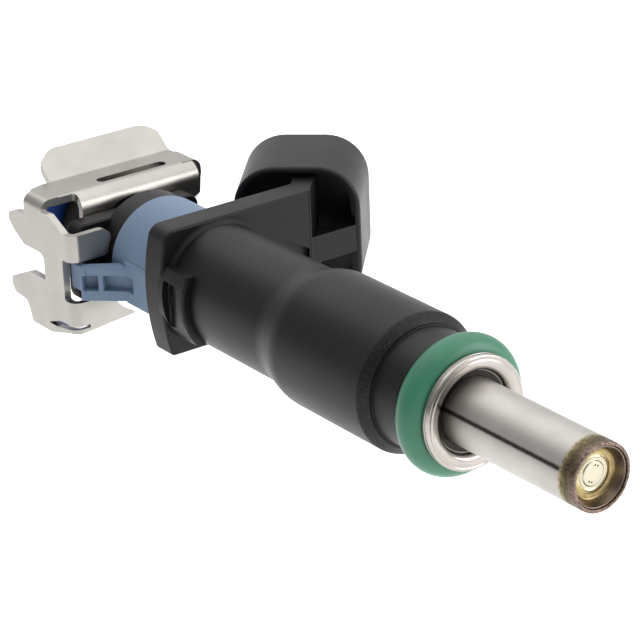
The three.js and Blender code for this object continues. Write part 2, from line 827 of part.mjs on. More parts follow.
function clipCarrier() {
  const edge = 0.15;
  const ringStartX = carrierRearX + CARRIER_PLATE - 0.4;
  const ring = turned([
    [ringStartX, overNeckR],
    [ringRearX - FIT, overNeckR],
    [ringRearX - FIT, carrierR],
    [ringStartX + edge, carrierR],
    [ringStartX, carrierR - edge],
  ]);
  const corner = 1.4;
  const outline = roundedRect(carrierLeftY, carrierRightY, -CARRIER_HALF_Z, CARRIER_HALF_Z, corner);
  const plate = pushed(outline, "X", carrierRearX, carrierRearX + CARRIER_PLATE, 4);
  return ring.add(plate.subtract(rod(carrierRearX - 1, ringRearX, overNeckR)));
}

const clipFrontX = ringRearX - 0.6; // front face of the tabs that stand before the carrier
const windowHighZ = ARM_HIGH_Z + 0.35;
const windowLowZ = ARM_LOW_Z - CLIP_FLOAT - 0.1;
const cornerX = clipRearX + 4.8; // where the windows at the top corners start
const foldZ = clipTopZ - BEND_R + 0.01; // a wall stops here, where the fold takes over

// The top plate with its handle and the upper plate, as one bent strip along Y.
function clipTop() {
  const handleRear = clipRearX - HANDLE_LENGTH * Math.cos(HANDLE_RISE);
  const handleHigh = clipTopZ + HANDLE_LENGTH * Math.sin(HANDLE_RISE);
  const lowZ = 2.7;
  const section = bentSheet([
    [handleHigh, handleRear],
    [clipTopZ, clipRearX],
    [clipTopZ, underX],
    [lowZ, underX],
  ]);
  const strip = pushed(section, "Y", clipLeftY + BEND_R, clipRightY - BEND_R);
  const plateLeft = clipLeftY + 4.5;
  const plateRight = clipRightY - 0.6;
  const flankX = clipRearX + 1.1;
  const up = axis(-Math.cos(HANDLE_RISE), 0, Math.sin(HANDLE_RISE));
  const through = axis(-Math.sin(HANDLE_RISE), 0, -Math.cos(HANDLE_RISE));
  const slope = new THREE.Matrix4().makeBasis(up, axis(0, 1, 0), through);
  slope.setPosition(clipRearX, 0, clipTopZ);
  const handleLeftY = clipLeftY + HANDLE_LEFT;
  const handleRightY = clipRightY - HANDLE_RIGHT;
  const handlePlan = roundedRect(-5, HANDLE_LENGTH, handleLeftY, handleRightY, HANDLE_CORNER);
  const handle = pushed(handlePlan, slope, -2, 2, 5);
  const platePlan = polygon([
    [clipRearX + 0.2, clipLeftY + BEND_R + 1.6],
    [flankX, clipLeftY],
    [cornerX, clipLeftY],
    [cornerX, plateLeft],
    [underX + 1, plateLeft],
    [underX + 1, plateRight],
    [cornerX, plateRight],
    [flankX, clipRightY],
    [clipRearX + 0.2, clipRightY - BEND_R - 1],
  ]);
  const plate = pushed(platePlan, "Z", lowZ - 1, clipTopZ + 1);
  const slotR = rearNeckR + CLIP_FLOAT + FIT;
  const neckSlot = rod(clipPlateX - 1, underX + 1, slotR);
  const belowSlot = box(clipPlateX - 1, underX + 1, -slotR, slotR, -FAR, 0);
  const slotRearX = clipRearX + 2.75;
  const slotShape = roundedRect(slotRearX, slotRearX + 1.3, -2.9, 6.1, 0.6);
  const slot = pushed(slotShape, "Z", clipTopZ - 2, clipTopZ + 1, 3);
  const lowerRight = pushed(
    polygon([
      [plateRight + 1, lowZ - 1],
      [plateRight - 2, lowZ - 1],
      [plateRight - 2, lowZ],
      [plateRight, lowZ + 1.1],
      [plateRight + 1, lowZ + 1.1],
    ]),
    "X",
    clipPlateX - 1,
    underX + 1,
  );
  return strip
    .intersect(handle.add(plate))
    .subtract(neckSlot)
    .subtract(belowSlot)
    .subtract(slot)
    .subtract(lowerRight);
}

// The outline of a side wall's rear, as [z, x] points: two hooked fingers and the notch between.
const rearEdge = [
  [clipTopZ, clipRearX + 1.5],
  [4.4, clipRearX + 1.0],
  [4.3, clipRearX - 0.9],
  [3.8, clipRearX - 2.3],
  [2.9, clipRearX - 2.5],
  [1.9, clipRearX - 1.5],
  [0.7, clipRearX + 0.5],
  [0.7, clipRearX + 4.1],
  [0.2, clipRearX + 4.7],
  [-2.35, clipRearX + 4.7],
  [-2.35, clipRearX + 1.3],
  [-4.1, clipRearX - 2.7],
  [-5.1, clipRearX - 2.8],
  [-5.9, clipRearX - 2.2],
  [-6.1, clipRearX + 0.1],
  [-6.9, clipRearX + 0.7],
  [clipLowZ, clipRearX + 1.2],
];

// The left wall, with the window for the index ring's arm and the two tabs before the carrier.
function clipLeftWall() {
  const reachY = -3.4;
  const section = bentSheet([
    [clipRearX - 6, clipLeftY],
    [clipFrontX, clipLeftY],
    [clipFrontX, reachY],
  ]);
  const blank = pushed(section, "Z", clipLowZ, clipTopZ);
  const tabHighZ = 4.35;
  const frontLowZ = -7.25;
  const keep = pushed(
    polygon([
      ...rearEdge,
      [clipLowZ, clipRearX + 5.3],
      [frontLowZ, clipFrontX - BEND_R],
      [frontLowZ, clipFrontX + 1],
      [tabHighZ, clipFrontX + 1],
      [tabHighZ, clipFrontX - 1.5],
      [5.75, cornerX + 1.4],
      [clipTopZ, cornerX],
    ]),
    "Y",
    clipLeftY - 1,
    0,
  );
  const lowEdge = pushed(
    polygon([
      [clipLeftY, frontLowZ],
      [reachY + 0.2, frontLowZ + 0.75],
      [reachY + 1, -9],
      [clipLeftY, -9],
    ]),
    "X",
    clipFrontX - BEND_R,
    clipFrontX + 1,
  );
  const window = box(clipFrontX - 1.9, clipFrontX + 1, -FAR, 0, windowLowZ, windowHighZ);
  const upperReachY = -5.9;
  const tabEnd = rod(clipFrontX - 2, clipFrontX + 1, carrierR + CLEAR);
  const upperEnd = box(clipFrontX - 1, clipFrontX + 1, upperReachY, 0, 0, FAR);
  const lowerEnd = rod(clipFrontX - 2, clipFrontX + 1, carrierR + 0.9);
  const lowerHalf = box(clipFrontX - 3, clipFrontX + 2, -FAR, 0, -FAR, 0);
  const slit = pushed(
    polygon([
      [-7.6, clipRearX + 4.9],
      [-6.2, clipFrontX - 3.4],
      [-6.0, clipFrontX + 1],
      [-6.3, clipFrontX + 1],
      [-7.7, clipFrontX - 4.2],
    ]),
    "Y",
    clipLeftY - 1,
    clipLeftY + 1.9,
  );
  return blank
    .intersect(keep)
    .subtract(lowEdge)
    .subtract(window)
    .subtract(tabEnd)
    .subtract(upperEnd)
    .subtract(lowerEnd.intersect(lowerHalf))
    .subtract(slit);
}

// The right wall is short and flat: the upper finger only, ending behind the upper plate.
function clipRightWall() {
  const upperFinger = rearEdge.slice(0, 7);
  const outline = polygon([
    ...upperFinger,
    [0.7, clipRearX + 2.6],
    [2.6, cornerX - 0.4],
    [foldZ, cornerX],
    [clipTopZ, cornerX],
  ]);
  const wall = pushed(outline, "Y", clipRightY - SHEET, clipRightY);
  return wall.intersect(box(-FAR, FAR, 0, FAR, -FAR, foldZ));
}

// The folded edge that joins the top plate to a side wall.
function clipCrease(wallY, side) {
  const inward = -side;
  const path = [
    [wallY, clipTopZ - 2],
    [wallY, clipTopZ],
    [wallY + inward * 2.4, clipTopZ],
  ];
  const section = side < 0 ? bentSheet([...path].reverse()) : bentSheet(path);
  return pushed(section, "X", clipRearX + 1.1, cornerX);
}

function retainingClip() {
  const belowFold = box(-FAR, FAR, -FAR, 0, -FAR, foldZ);
  return joined([
    clipTop(),
    clipLeftWall().intersect(belowFold),
    clipRightWall(),
    clipCrease(clipLeftY, -1),
    clipCrease(clipRightY, 1),
  ]);
}

// ---- finishes and assembly ----------------------------------------------------------------------
const finish = (color, roughness, metalness) =>
  new THREE.MeshStandardMaterial({ color, roughness, metalness });

const blackPlastic = () => finish(0x2b2a2b, 0.55, 0);
const paleSteel = () => finish(0xc2bdb6, 0.3, 1);
const darkSteel = () => finish(0x8d8b88, 0.4, 1);

const pieces = [
  ["valve_tube", valveTube(), paleSteel()],
  ["spray_plate", sprayPlate(), finish(0xcfc9b8, 0.35, 1)],
  ["valve_seat", valveSeat(), darkSteel()],
  ["ball_guide", ballGuide(), darkSteel()],
  ["valve_ball", valveBall(), finish(0xd8d8d8, 0.1, 1)],
  ["needle_tube", needleTube(), paleSteel()],
  ["armature", armature(), darkSteel()],
  ["pole_core", poleCore(), darkSteel()],
  ["adjusting_sleeve", adjustingSleeve(), paleSteel()],
  ["return_spring", returnSpring(), paleSteel()],
  ["coil_bobbin", coilBobbin(), finish(0xb9a98a, 0.5, 0)],
  ["coil_winding", coilWinding(), finish(0xb06a35, 0.35, 1)],
  ["magnet_housing", magnetHousing(), darkSteel()],
  ["flux_washer", fluxWasher(), darkSteel()],
  ["inlet_tube", inletTube(), paleSteel()],
  ["filter_ring", filterRing(), finish(0xc7a24a, 0.35, 1)],
  ["inlet_filter", inletFilter(), finish(0xd9d4c4, 0.6, 0)],
  ["lower_collar", lowerCollar(), finish(0xcfcac5, 0.15, 1)],
  ["lower_oring", torus(oringRingR, ORING_CORD_R, ORING_PITCH), finish(0x3f7a5f, 0.4, 0)],
  ["oring_seat", oringSeat(), darkSteel()],
  ["upper_oring", torus(oringRingR, ORING_CORD_R, 0), finish(0x2d4f91, 0.4, 0)],
  ["rear_spacer", rearSpacer(), blackPlastic()],
  ["terminal_upper", terminalBody(0, 1), finish(0xcdc7b0, 0.3, 1)],
  ["terminal_lower", terminalBody(0, -1), finish(0xcdc7b0, 0.3, 1)],
  ["overmould_body", overmouldBody(), blackPlastic()],
  ["index_ring", indexRing(), finish(0x8096b9, 0.5, 0)],
  ["clip_carrier", clipCarrier(), blackPlastic()],
  ["retaining_clip", retainingClip(), finish(0xc4c0b8, 0.35, 1)],
];

const injector = new THREE.Group();
injector.name = "fuel_injector";
for (const [name, solid, material] of pieces) {
  const mesh = new THREE.Mesh(geometryOf(solid), material);
  mesh.name = name;
  injector.add(mesh);
}

export default injector;
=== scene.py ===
"""Port fuel injector with an extended tip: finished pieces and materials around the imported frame.

The injector's axis is X with its tip at +X, the connector leans to +Y, and +Z is up. Shapes are worked out
in millimetres and stored in metres.
"""
from math import atan2, cos, hypot, pi, radians, sin, tan

import bmesh
import bpy
from mathutils import Matrix, Vector


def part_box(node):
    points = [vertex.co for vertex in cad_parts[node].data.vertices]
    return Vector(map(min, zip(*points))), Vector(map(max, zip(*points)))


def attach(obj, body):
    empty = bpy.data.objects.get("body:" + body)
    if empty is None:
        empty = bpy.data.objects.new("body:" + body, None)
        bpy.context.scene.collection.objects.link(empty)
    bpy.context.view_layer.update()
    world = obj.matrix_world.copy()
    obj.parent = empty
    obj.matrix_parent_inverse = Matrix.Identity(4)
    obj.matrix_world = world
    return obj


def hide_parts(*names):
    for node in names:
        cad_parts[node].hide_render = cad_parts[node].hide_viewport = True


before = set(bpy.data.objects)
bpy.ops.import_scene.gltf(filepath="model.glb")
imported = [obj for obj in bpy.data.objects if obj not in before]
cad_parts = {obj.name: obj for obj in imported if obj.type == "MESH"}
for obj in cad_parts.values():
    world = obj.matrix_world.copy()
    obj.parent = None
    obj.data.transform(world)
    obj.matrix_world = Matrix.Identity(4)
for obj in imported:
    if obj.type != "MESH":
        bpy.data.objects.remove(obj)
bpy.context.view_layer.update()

MM = 0.001
AROUND = 144  # sides of a turned piece

# ---- places, from the frame ---------------------------------------------------------------------


def low_mm(node):
    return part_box(node)[0] / MM


def high_mm(node):
    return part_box(node)[1] / MM


FIT = 0.05  # clearance between two pieces that touch
TIP_X = high_mm("valve_tube").x
TUBE_R = high_mm("valve_tube").z
TUBE_REAR_X = low_mm("valve_tube").x
TUBE_WALL = 0.45
RING_CORD_R = (high_mm("lower_oring").x - low_mm("lower_oring").x) / 2
RING_R = 5.7  # axis to the middle of an O-ring's cord
LOWER_RING_X = low_mm("lower_oring").x + RING_CORD_R
COLLAR_X = low_mm("lower_collar").x
COLLAR_FRONT_X = high_mm("lower_collar").x
COLLAR_R = 6.0
NECK_FRONT_X = high_mm("overmould_body").x
CARRIER_X = low_mm("clip_carrier").x
RING_REAR_X = high_mm("clip_carrier").x + FIT
FLANGE_X = high_mm("index_ring").x + FIT
CLIP_FRONT_X = high_mm("retaining_clip").x
CLIP_LEFT_Y = low_mm("retaining_clip").y
CLIP_RIGHT_Y = high_mm("retaining_clip").y
CLIP_LOW_Z = low_mm("retaining_clip").z
HOUSING_X = low_mm("magnet_housing").x
HOUSING_FRONT_X = high_mm("magnet_housing").x
INLET_X = low_mm("inlet_tube").x
SPACER_FRONT_X = high_mm("rear_spacer").x

# ---- sizes that the frame doesn't state ---------------------------------------------------------
BODY_R = 6.55
SLEEVE_R = 7.5
SLEEVE_LENGTH = 17.5
SLEEVE_BLEND = 2.9
SLEEVE_CHAMFER = 0.9
NECK_R = 6.3
NECK_LENGTH = 4.0
REAR_NECK_R = 5.0
INLET_R = 4.0
FLANGE_THICK = 3.3
FLANGE_HALF_Z = 7.2
FLANGE_LEFT_Y = -6.2
FLANGE_REACH_Y = 12.8
BOSS_LENGTH = 4.3
BOSS_LOW_Z = -4.6
BOSS_HIGH_Z = 3.4
FLANGE_FRONT_X = FLANGE_X + FLANGE_THICK
PLUG_TILT = radians(48)
PLUG_CENTRE = Vector((FLANGE_X - 1.1, 13.85, 0))
PLUG_HALF_W = 7.1
PLUG_HALF_H = 8.3
PLUG_CORNER_R = 4.8
PLUG_LENGTH = 11.4
PLUG_WALL = 1.1
PLUG_BACK_POCKET = 3.2
PLUG_FLOOR = 1.4
SHEET = 0.8
BEND_R = 1.2
CLIP_TOP_Z = 6.9
ARM_HIGH_Z = 0.9
ARM_LOW_Z = -3.1
SPACER_R = 5.6
INLET_LIP_R = 5.9
CARRIER_RING_R = 6.4
CARRIER_PLATE = 2.3
INDEX_RING_R = 6.5
SOLID_R = 3  # where a ring's section starts before its bore is cut
SEAM_ANGLE = radians(160)
TINT_REACH = 2.9  # how far the weld tint comes back from the tip
SLIVER = 0.001 * MM

# ---- modelling helpers --------------------------------------------------------------------------


def fillet(corners, steps=5):
    """An outline from (a, b, radius) corners: each corner with a radius becomes an arc."""
    outline = []
    count = len(corners)
    for i, (a, b, radius) in enumerate(corners):
        here = Vector((a, b))
        if not radius:
            outline.append(here)
            continue
        to_last = (Vector(corners[i - 1][:2]) - here).normalized()
        to_next = (Vector(corners[(i + 1) % count][:2]) - here).normalized()
        half = to_last.angle(to_next) / 2
        centre = here + (to_last + to_next).normalized() * (radius / sin(half))
        start = here + to_last * (radius / tan(half)) - centre
        sweep = pi - 2 * half
        if start.x * to_last.y - start.y * to_last.x > 0:
            sweep = -sweep
        for k in range(steps + 1):
            turn = Matrix.Rotation(sweep * k / steps, 2)
            outline.append(centre + turn @ start)
    return outline


def new_piece(name, bm, body="injector"):
    """Stores a bmesh made in millimetres as an object in metres that rides on a body."""
    bmesh.ops.scale(bm, vec=(MM, MM, MM), verts=bm.verts)
    mesh = bpy.data.meshes.new(name)
    bm.to_mesh(mesh)
    bm.free()
    piece = bpy.data.objects.new(name, mesh)
    bpy.context.scene.collection.objects.link(piece)
    if body:
        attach(piece, body)
    return piece


def turned(outline, around=AROUND):
    """A closed outline of (x, r) points spun about the X axis."""
    bm = bmesh.new()
    ring = [bm.verts.new((x, r, 0)) for x, r in (tuple(p)[:2] for p in outline)]
    edges = [bm.edges.new((ring[i - 1], ring[i])) for i in range(len(ring))]
    bmesh.ops.spin(
        bm, geom=ring + edges, cent=(0, 0, 0), axis=(1, 0, 0), angle=2 * pi,
        steps=around, use_merge=True, use_duplicate=False,
    )
    bmesh.ops.remove_doubles(bm, verts=bm.verts, dist=1e-4)
    bmesh.ops.dissolve_degenerate(bm, edges=bm.edges, dist=1e-5)
    bmesh.ops.recalc_face_normals(bm, faces=bm.faces)
    return bm


# Where a flat outline's own axes and its depth point.
PUSH = {
    "X": Matrix(((0, 0, 1), (1, 0, 0), (0, 1, 0))),
    "Y": Matrix(((0, 1, 0), (0, 0, 1), (1, 0, 0))),
    "Z": Matrix.Identity(3),
}


def pushed(outline, along, low, high, soften=0.0, segments=3):
    """An outline pushed from low to high. Along X it is (y, z), along Y (z, x) and along Z (x, y)."""
    turn = PUSH[along] if isinstance(along, str) else along
    bm = bmesh.new()
    face = bm.faces.new([bm.verts.new((p[0], p[1], low)) for p in outline])
    grown = bmesh.ops.extrude_face_region(bm, geom=[face], use_keep_orig=True)
    moved = [v for v in grown["geom"] if isinstance(v, bmesh.types.BMVert)]
    bmesh.ops.translate(bm, vec=(0, 0, high - low), verts=moved)
    bmesh.ops.recalc_face_normals(bm, faces=bm.faces)
    if soften:
        sharp = [e for e in bm.edges if e.calc_face_angle(0) > radians(30)]
        bmesh.ops.bevel(
            bm, geom=sharp, offset=soften, offset_type="OFFSET", segments=segments,
            profile=0.5, affect="EDGES", material=-1, clamp_overlap=True,
        )
    bmesh.ops.transform(bm, matrix=turn.to_4x4(), verts=bm.verts)
    bmesh.ops.recalc_face_normals(bm, faces=bm.faces)
    return bm


def placed(bm, matrix):
    bmesh.ops.transform(bm, matrix=matrix, verts=bm.verts)
    bmesh.ops.recalc_face_normals(bm, faces=bm.faces)
    return bm


def brick(x0, x1, y0, y1, z0, z1, soften=0.0):
    return pushed([(x0, y0), (x1, y0), (x1, y1), (x0, y1)], "Z", z0, z1, soften)


def rod(x0, x1, radius, around=96):
    return turned([(x0, 0), (x1, 0), (x1, radius), (x0, radius)], around)


def drill(x, y, z, radius, length, around=24):
    bm = bmesh.new()
    bmesh.ops.create_cone(
        bm, cap_ends=True, segments=around, radius1=radius, radius2=radius, depth=length,
        matrix=Matrix.Translation((x, y, z)) @ Matrix.Rotation(pi / 2, 4, "Y"),
    )
    return bm


def settle(piece):
    """Applies a piece's modifiers to its mesh."""
    graph = bpy.context.evaluated_depsgraph_get()
    mesh = bpy.data.meshes.new_from_object(piece.evaluated_get(graph))
    rough = piece.data
    piece.modifiers.clear()
    piece.data = mesh
    mesh.name = rough.name
    bpy.data.meshes.remove(rough)


def shaped(name, steps, body="injector"):
    """Builds a piece from a first solid and (operation, solid) steps after it."""
    piece = new_piece(name, steps[0], body)
    tools = []
    for k, (operation, bm) in enumerate(steps[1:]):
        tool = bm if isinstance(bm, bpy.types.Object) else new_piece(f"{name}_tool_{k}", bm, None)
        cut = piece.modifiers.new(f"step_{k}", "BOOLEAN")
        cut.operation = operation
        cut.solver = "EXACT"
        cut.object = tool
        tools.append(tool)
    bpy.context.view_layer.update()
    settle(piece)
    for tool in tools:
        mesh = tool.data
        bpy.data.objects.remove(tool)
        bpy.data.meshes.remove(mesh)
    return piece


def soften_edges(piece, width, angle=50, segments=2):
    """Rounds the edges of a finished piece, such as the edges of stamped sheet."""
    bm = bmesh.new()
    bm.from_mesh(piece.data)
    bmesh.ops.remove_doubles(bm, verts=bm.verts, dist=2e-6)
    bmesh.ops.dissolve_limit(
        bm, angle_limit=radians(0.5), verts=bm.verts, edges=bm.edges, use_dissolve_boundaries=False,
    )
    sharp = [e for e in bm.edges if e.is_manifold and e.calc_face_angle(0) > radians(angle)]
    bmesh.ops.bevel(
        bm, geom=sharp, offset=width * MM, offset_type="OFFSET", segments=segments,
        profile=0.5, affect="EDGES", material=-1, clamp_overlap=True,
    )
    bm.to_mesh(piece.data)
    bm.free()


def clear_slivers(mesh):
    """Joins points nearer than a thousandth of a millimetre and drops the faces that this leaves empty."""
    bm = bmesh.new()
    bm.from_mesh(mesh)
    bmesh.ops.remove_doubles(bm, verts=bm.verts, dist=SLIVER)
    bmesh.ops.dissolve_degenerate(bm, edges=bm.edges, dist=SLIVER)
    bm.to_mesh(mesh)
    bm.free()


def finish_piece(piece, material, nodes=(), angle=32):
    """Smooth shading with crisp edges, the material, and the nodes the piece stands for."""
    mesh = piece.data
    clear_slivers(mesh)
    mesh.shade_smooth()
    mesh.set_sharp_from_angle(angle=radians(angle))
    mesh.materials.clear()
    mesh.materials.append(material)
    if nodes:
        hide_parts(*nodes)
    return piece


def weigh_normals(piece):
    flat = piece.modifiers.new("even_shading", "WEIGHTED_NORMAL")
    flat.keep_sharp = True
    flat.weight = 60


def bent(path, bend_r=BEND_R, steps=10):
    """A bent sheet's section: a path on its outer face with rounded bends, laid SHEET thick to the left."""
    outer = []
    inner = []
    points = [Vector(p) for p in path]

    def left(along):
        return Vector((-along.y, along.x))

    def lay(point, normal):
        outer.append(point.copy())
        inner.append(point + normal * SHEET)

    for i, point in enumerate(points):
        before = (point - points[i - 1]).normalized() if i else None
        after = (points[i + 1] - point).normalized() if i < len(points) - 1 else None
        if before is None or after is None:
            lay(point, left(before or after))
            continue
        turn = atan2(before.x * after.y - before.y * after.x, before.dot(after))
        radius = bend_r if turn > 0 else bend_r - SHEET
        side = 1 if turn > 0 else -1
        start = point - before * (radius * tan(abs(turn) / 2))
        centre = start + left(before) * side * radius
        for k in range(steps + 1):
            normal = Matrix.Rotation(turn * k / steps, 2) @ left(before)
            lay(centre - normal * side * radius, normal)
    return outer + inner[::-1]


# ---- materials ----------------------------------------------------------------------------------
# Colours are sRGB hex values, and the size of a pattern is in millimetres.


def linear(text):
    """An sRGB hex colour as linear RGBA."""
    parts = [int(text[i : i + 2], 16) / 255 for i in (1, 3, 5)]
    return (*[c / 12.92 if c <= 0.04045 else ((c + 0.055) / 1.055) ** 2.4 for c in parts], 1)


def grey(value):
    return (value, value, value, 1)


def per_mm(size):
    """The noise scale that gives features of a size in millimetres."""
    return 1 / (size * MM)


def add(tree, kind, inputs=None, stops=None, **settings):
    """Adds one node with its settings and links. An input is a constant or another node's output.

    Stops are a colour ramp's (position, colour) pairs.
    """
    made = tree.nodes.new(kind)
    for key, value in settings.items():
        setattr(made, key, value)
    for key, value in (inputs or {}).items():
        if isinstance(value, bpy.types.NodeSocket):
            tree.links.new(value, made.inputs[key])
        else:
            made.inputs[key].default_value = value
    if stops:
        elements = made.color_ramp.elements
        while len(elements) < len(stops):
            elements.new(0.5)
        for element, (position, colour) in zip(elements, stops):
            element.position = position
            element.color = colour
    return made


def surface(name, **constants):
    """A new material with its Principled shader; constants go straight on the shader's sockets."""
    material = bpy.data.materials.new(name)
    material.use_nodes = True
    tree = material.node_tree
    tree.nodes.clear()
    shader = add(tree, "ShaderNodeBsdfPrincipled", constants)
    add(tree, "ShaderNodeOutputMaterial", {"Surface": shader.outputs["BSDF"]})
    place = add(tree, "ShaderNodeTexCoord").outputs["Object"]
    return material, tree, shader, place


def moulded_nylon(name, dark, light, gloss, grain=0.16, depth=0.004, dusty=False):
    """Moulded nylon: satin, a little clouded, with the fine even grain of a spark-eroded mould."""
    material, tree, shader, place = surface(name, **{"IOR": 1.53, "Specular IOR Level": 0.22})
    cloud = add(
        tree, "ShaderNodeTexNoise", {"Vector": place, "Scale": per_mm(9), "Detail": 3.0},
    ).outputs["Fac"]
    fine = add(
        tree, "ShaderNodeTexNoise", {"Vector": place, "Scale": per_mm(grain), "Detail": 2.0},
    ).outputs["Fac"]
    colour = add(
        tree, "ShaderNodeValToRGB", {"Fac": cloud}, [(0.3, linear(dark)), (0.7, linear(light))],
    ).outputs["Color"]
    if dusty:
        # A pale fleck 0.1 mm across about every 3 mm.
        dust = add(
            tree, "ShaderNodeTexVoronoi", {"Vector": place, "Scale": per_mm(3.2)},
        ).outputs["Distance"]
        fleck = add(
            tree, "ShaderNodeValToRGB", {"Fac": dust}, [(0.018, grey(1)), (0.03, grey(0))],
        ).outputs["Color"]
        colour = add(
            tree, "ShaderNodeMix", {"Factor": fleck, "A": colour, "B": linear("#6e6c69")},
            data_type="RGBA",
        ).outputs["Result"]
    tree.links.new(colour, shader.inputs["Base Color"])
    rough = add(
        tree, "ShaderNodeValToRGB", {"Fac": cloud},
        [(0.25, grey(gloss - 0.05)), (0.75, grey(gloss + 0.06))],
    ).outputs["Color"]
    tree.links.new(rough, shader.inputs["Roughness"])
    grained = add(tree, "ShaderNodeBump", {"Height": fine, "Distance": depth * MM, "Strength": 1.0})
    tree.links.new(grained.outputs["Normal"], shader.inputs["Normal"])
    return material, tree, shader, place, colour


def body_nylon():
    """Black nylon, with the pale speckle that torn skin leaves on the sleeve's chamfer."""
    material, tree, shader, place, base = moulded_nylon(
        "black_glass_filled_nylon", "#0e0b0c", "#151213", 0.4, dusty=True,
    )
    grit = add(
        tree, "ShaderNodeTexNoise", {"Vector": place, "Scale": per_mm(0.13), "Detail": 2.0},
    ).outputs["Fac"]
    fleck = add(
        tree, "ShaderNodeValToRGB", {"Fac": grit}, [(0.6, grey(0)), (0.68, grey(0.7))],
    ).outputs["Color"]
    x = add(tree, "ShaderNodeSeparateXYZ", {"Vector": place}).outputs["X"]
    chamfer_x = NECK_FRONT_X - NECK_LENGTH - SLEEVE_CHAMFER / 2
    off = add(tree, "ShaderNodeMath", {0: x, 1: chamfer_x * MM}, operation="SUBTRACT").outputs[0]
    off = add(tree, "ShaderNodeMath", {0: off}, operation="ABSOLUTE").outputs[0]
    near = add(
        tree, "ShaderNodeMapRange",
        {"Value": off, "From Min": 0.3 * MM, "From Max": 0.9 * MM, "To Min": 1.0, "To Max": 0.0},
    ).outputs[0]
    amount = add(tree, "ShaderNodeMath", {0: fleck, 1: near}, operation="MULTIPLY").outputs[0]
    torn = add(
        tree, "ShaderNodeMix", {"Factor": amount, "A": base, "B": linear("#4d4846")}, data_type="RGBA",
    ).outputs["Result"]
    tree.links.new(torn, shader.inputs["Base Color"])
    return material


def fluoro_rubber(name, colour, light):
    """Moulded fluoro rubber: even colour, a soft waxy sheen and a faint skin texture."""
    material, tree, shader, place = surface(
        name, **{"IOR": 1.45, "Coat Weight": 0.12, "Coat Roughness": 0.3},
    )
    cloud = add(
        tree, "ShaderNodeTexNoise", {"Vector": place, "Scale": per_mm(4), "Detail": 2.0},
    ).outputs["Fac"]
    skin = add(
        tree, "ShaderNodeTexNoise", {"Vector": place, "Scale": per_mm(0.25), "Detail": 3.0},
    ).outputs["Fac"]
    tint = add(
        tree, "ShaderNodeValToRGB", {"Fac": cloud}, [(0.3, linear(colour)), (0.7, linear(light))],
    ).outputs["Color"]
    tree.links.new(tint, shader.inputs["Base Color"])
    rough = add(
        tree, "ShaderNodeValToRGB", {"Fac": cloud}, [(0.3, grey(0.36)), (0.7, grey(0.46))],
    ).outputs["Color"]
    tree.links.new(rough, shader.inputs["Roughness"])
    grained = add(tree, "ShaderNodeBump", {"Height": skin, "Distance": 0.003 * MM, "Strength": 1.0})
    tree.links.new(grained.outputs["Normal"], shader.inputs["Normal"])
    return material


def steel(name, dark, light, gloss, stretch=(1, 1, 1), grain=0.3, depth=0.002, spread=0.06):
    """Bare metal. Stretch draws its grain out along the way it was rolled, drawn or ground."""
    material, tree, shader, place = surface(name, Metallic=1.0)
    run = add(tree, "ShaderNodeMapping", {"Vector": place, "Scale": stretch}).outputs["Vector"]
    lines = add(
        tree, "ShaderNodeTexNoise", {"Vector": run, "Scale": per_mm(grain), "Detail": 4.0},
    ).outputs["Fac"]
    cloud = add(
        tree, "ShaderNodeTexNoise", {"Vector": place, "Scale": per_mm(5), "Detail": 3.0},
    ).outputs["Fac"]
    colour = add(
        tree, "ShaderNodeValToRGB", {"Fac": cloud}, [(0.3, linear(dark)), (0.7, linear(light))],
    ).outputs["Color"]
    tree.links.new(colour, shader.inputs["Base Color"])
    rough = add(
        tree, "ShaderNodeValToRGB", {"Fac": lines},
        [(0.25, grey(gloss - spread)), (0.75, grey(gloss + spread))],
    ).outputs["Color"]
    tree.links.new(rough, shader.inputs["Roughness"])
    if depth:
        grained = add(tree, "ShaderNodeBump", {"Height": lines, "Distance": depth * MM, "Strength": 1.0})
        tree.links.new(grained.outputs["Normal"], shader.inputs["Normal"])
    return material, tree, shader, place, colour


def around_axis(tree, place):
    """A point's x, its distance from the X axis and its angle about it."""
    parts = add(tree, "ShaderNodeSeparateXYZ", {"Vector": place}).outputs
    flat = add(tree, "ShaderNodeCombineXYZ", {"Y": parts["Y"], "Z": parts["Z"]}).outputs["Vector"]
    away = add(tree, "ShaderNodeVectorMath", {0: flat}, operation="LENGTH").outputs["Value"]
    angle = add(
        tree, "ShaderNodeMath", {0: parts["Z"], 1: parts["Y"]}, operation="ARCTAN2",
    ).outputs["Value"]
    return parts["X"], away, angle


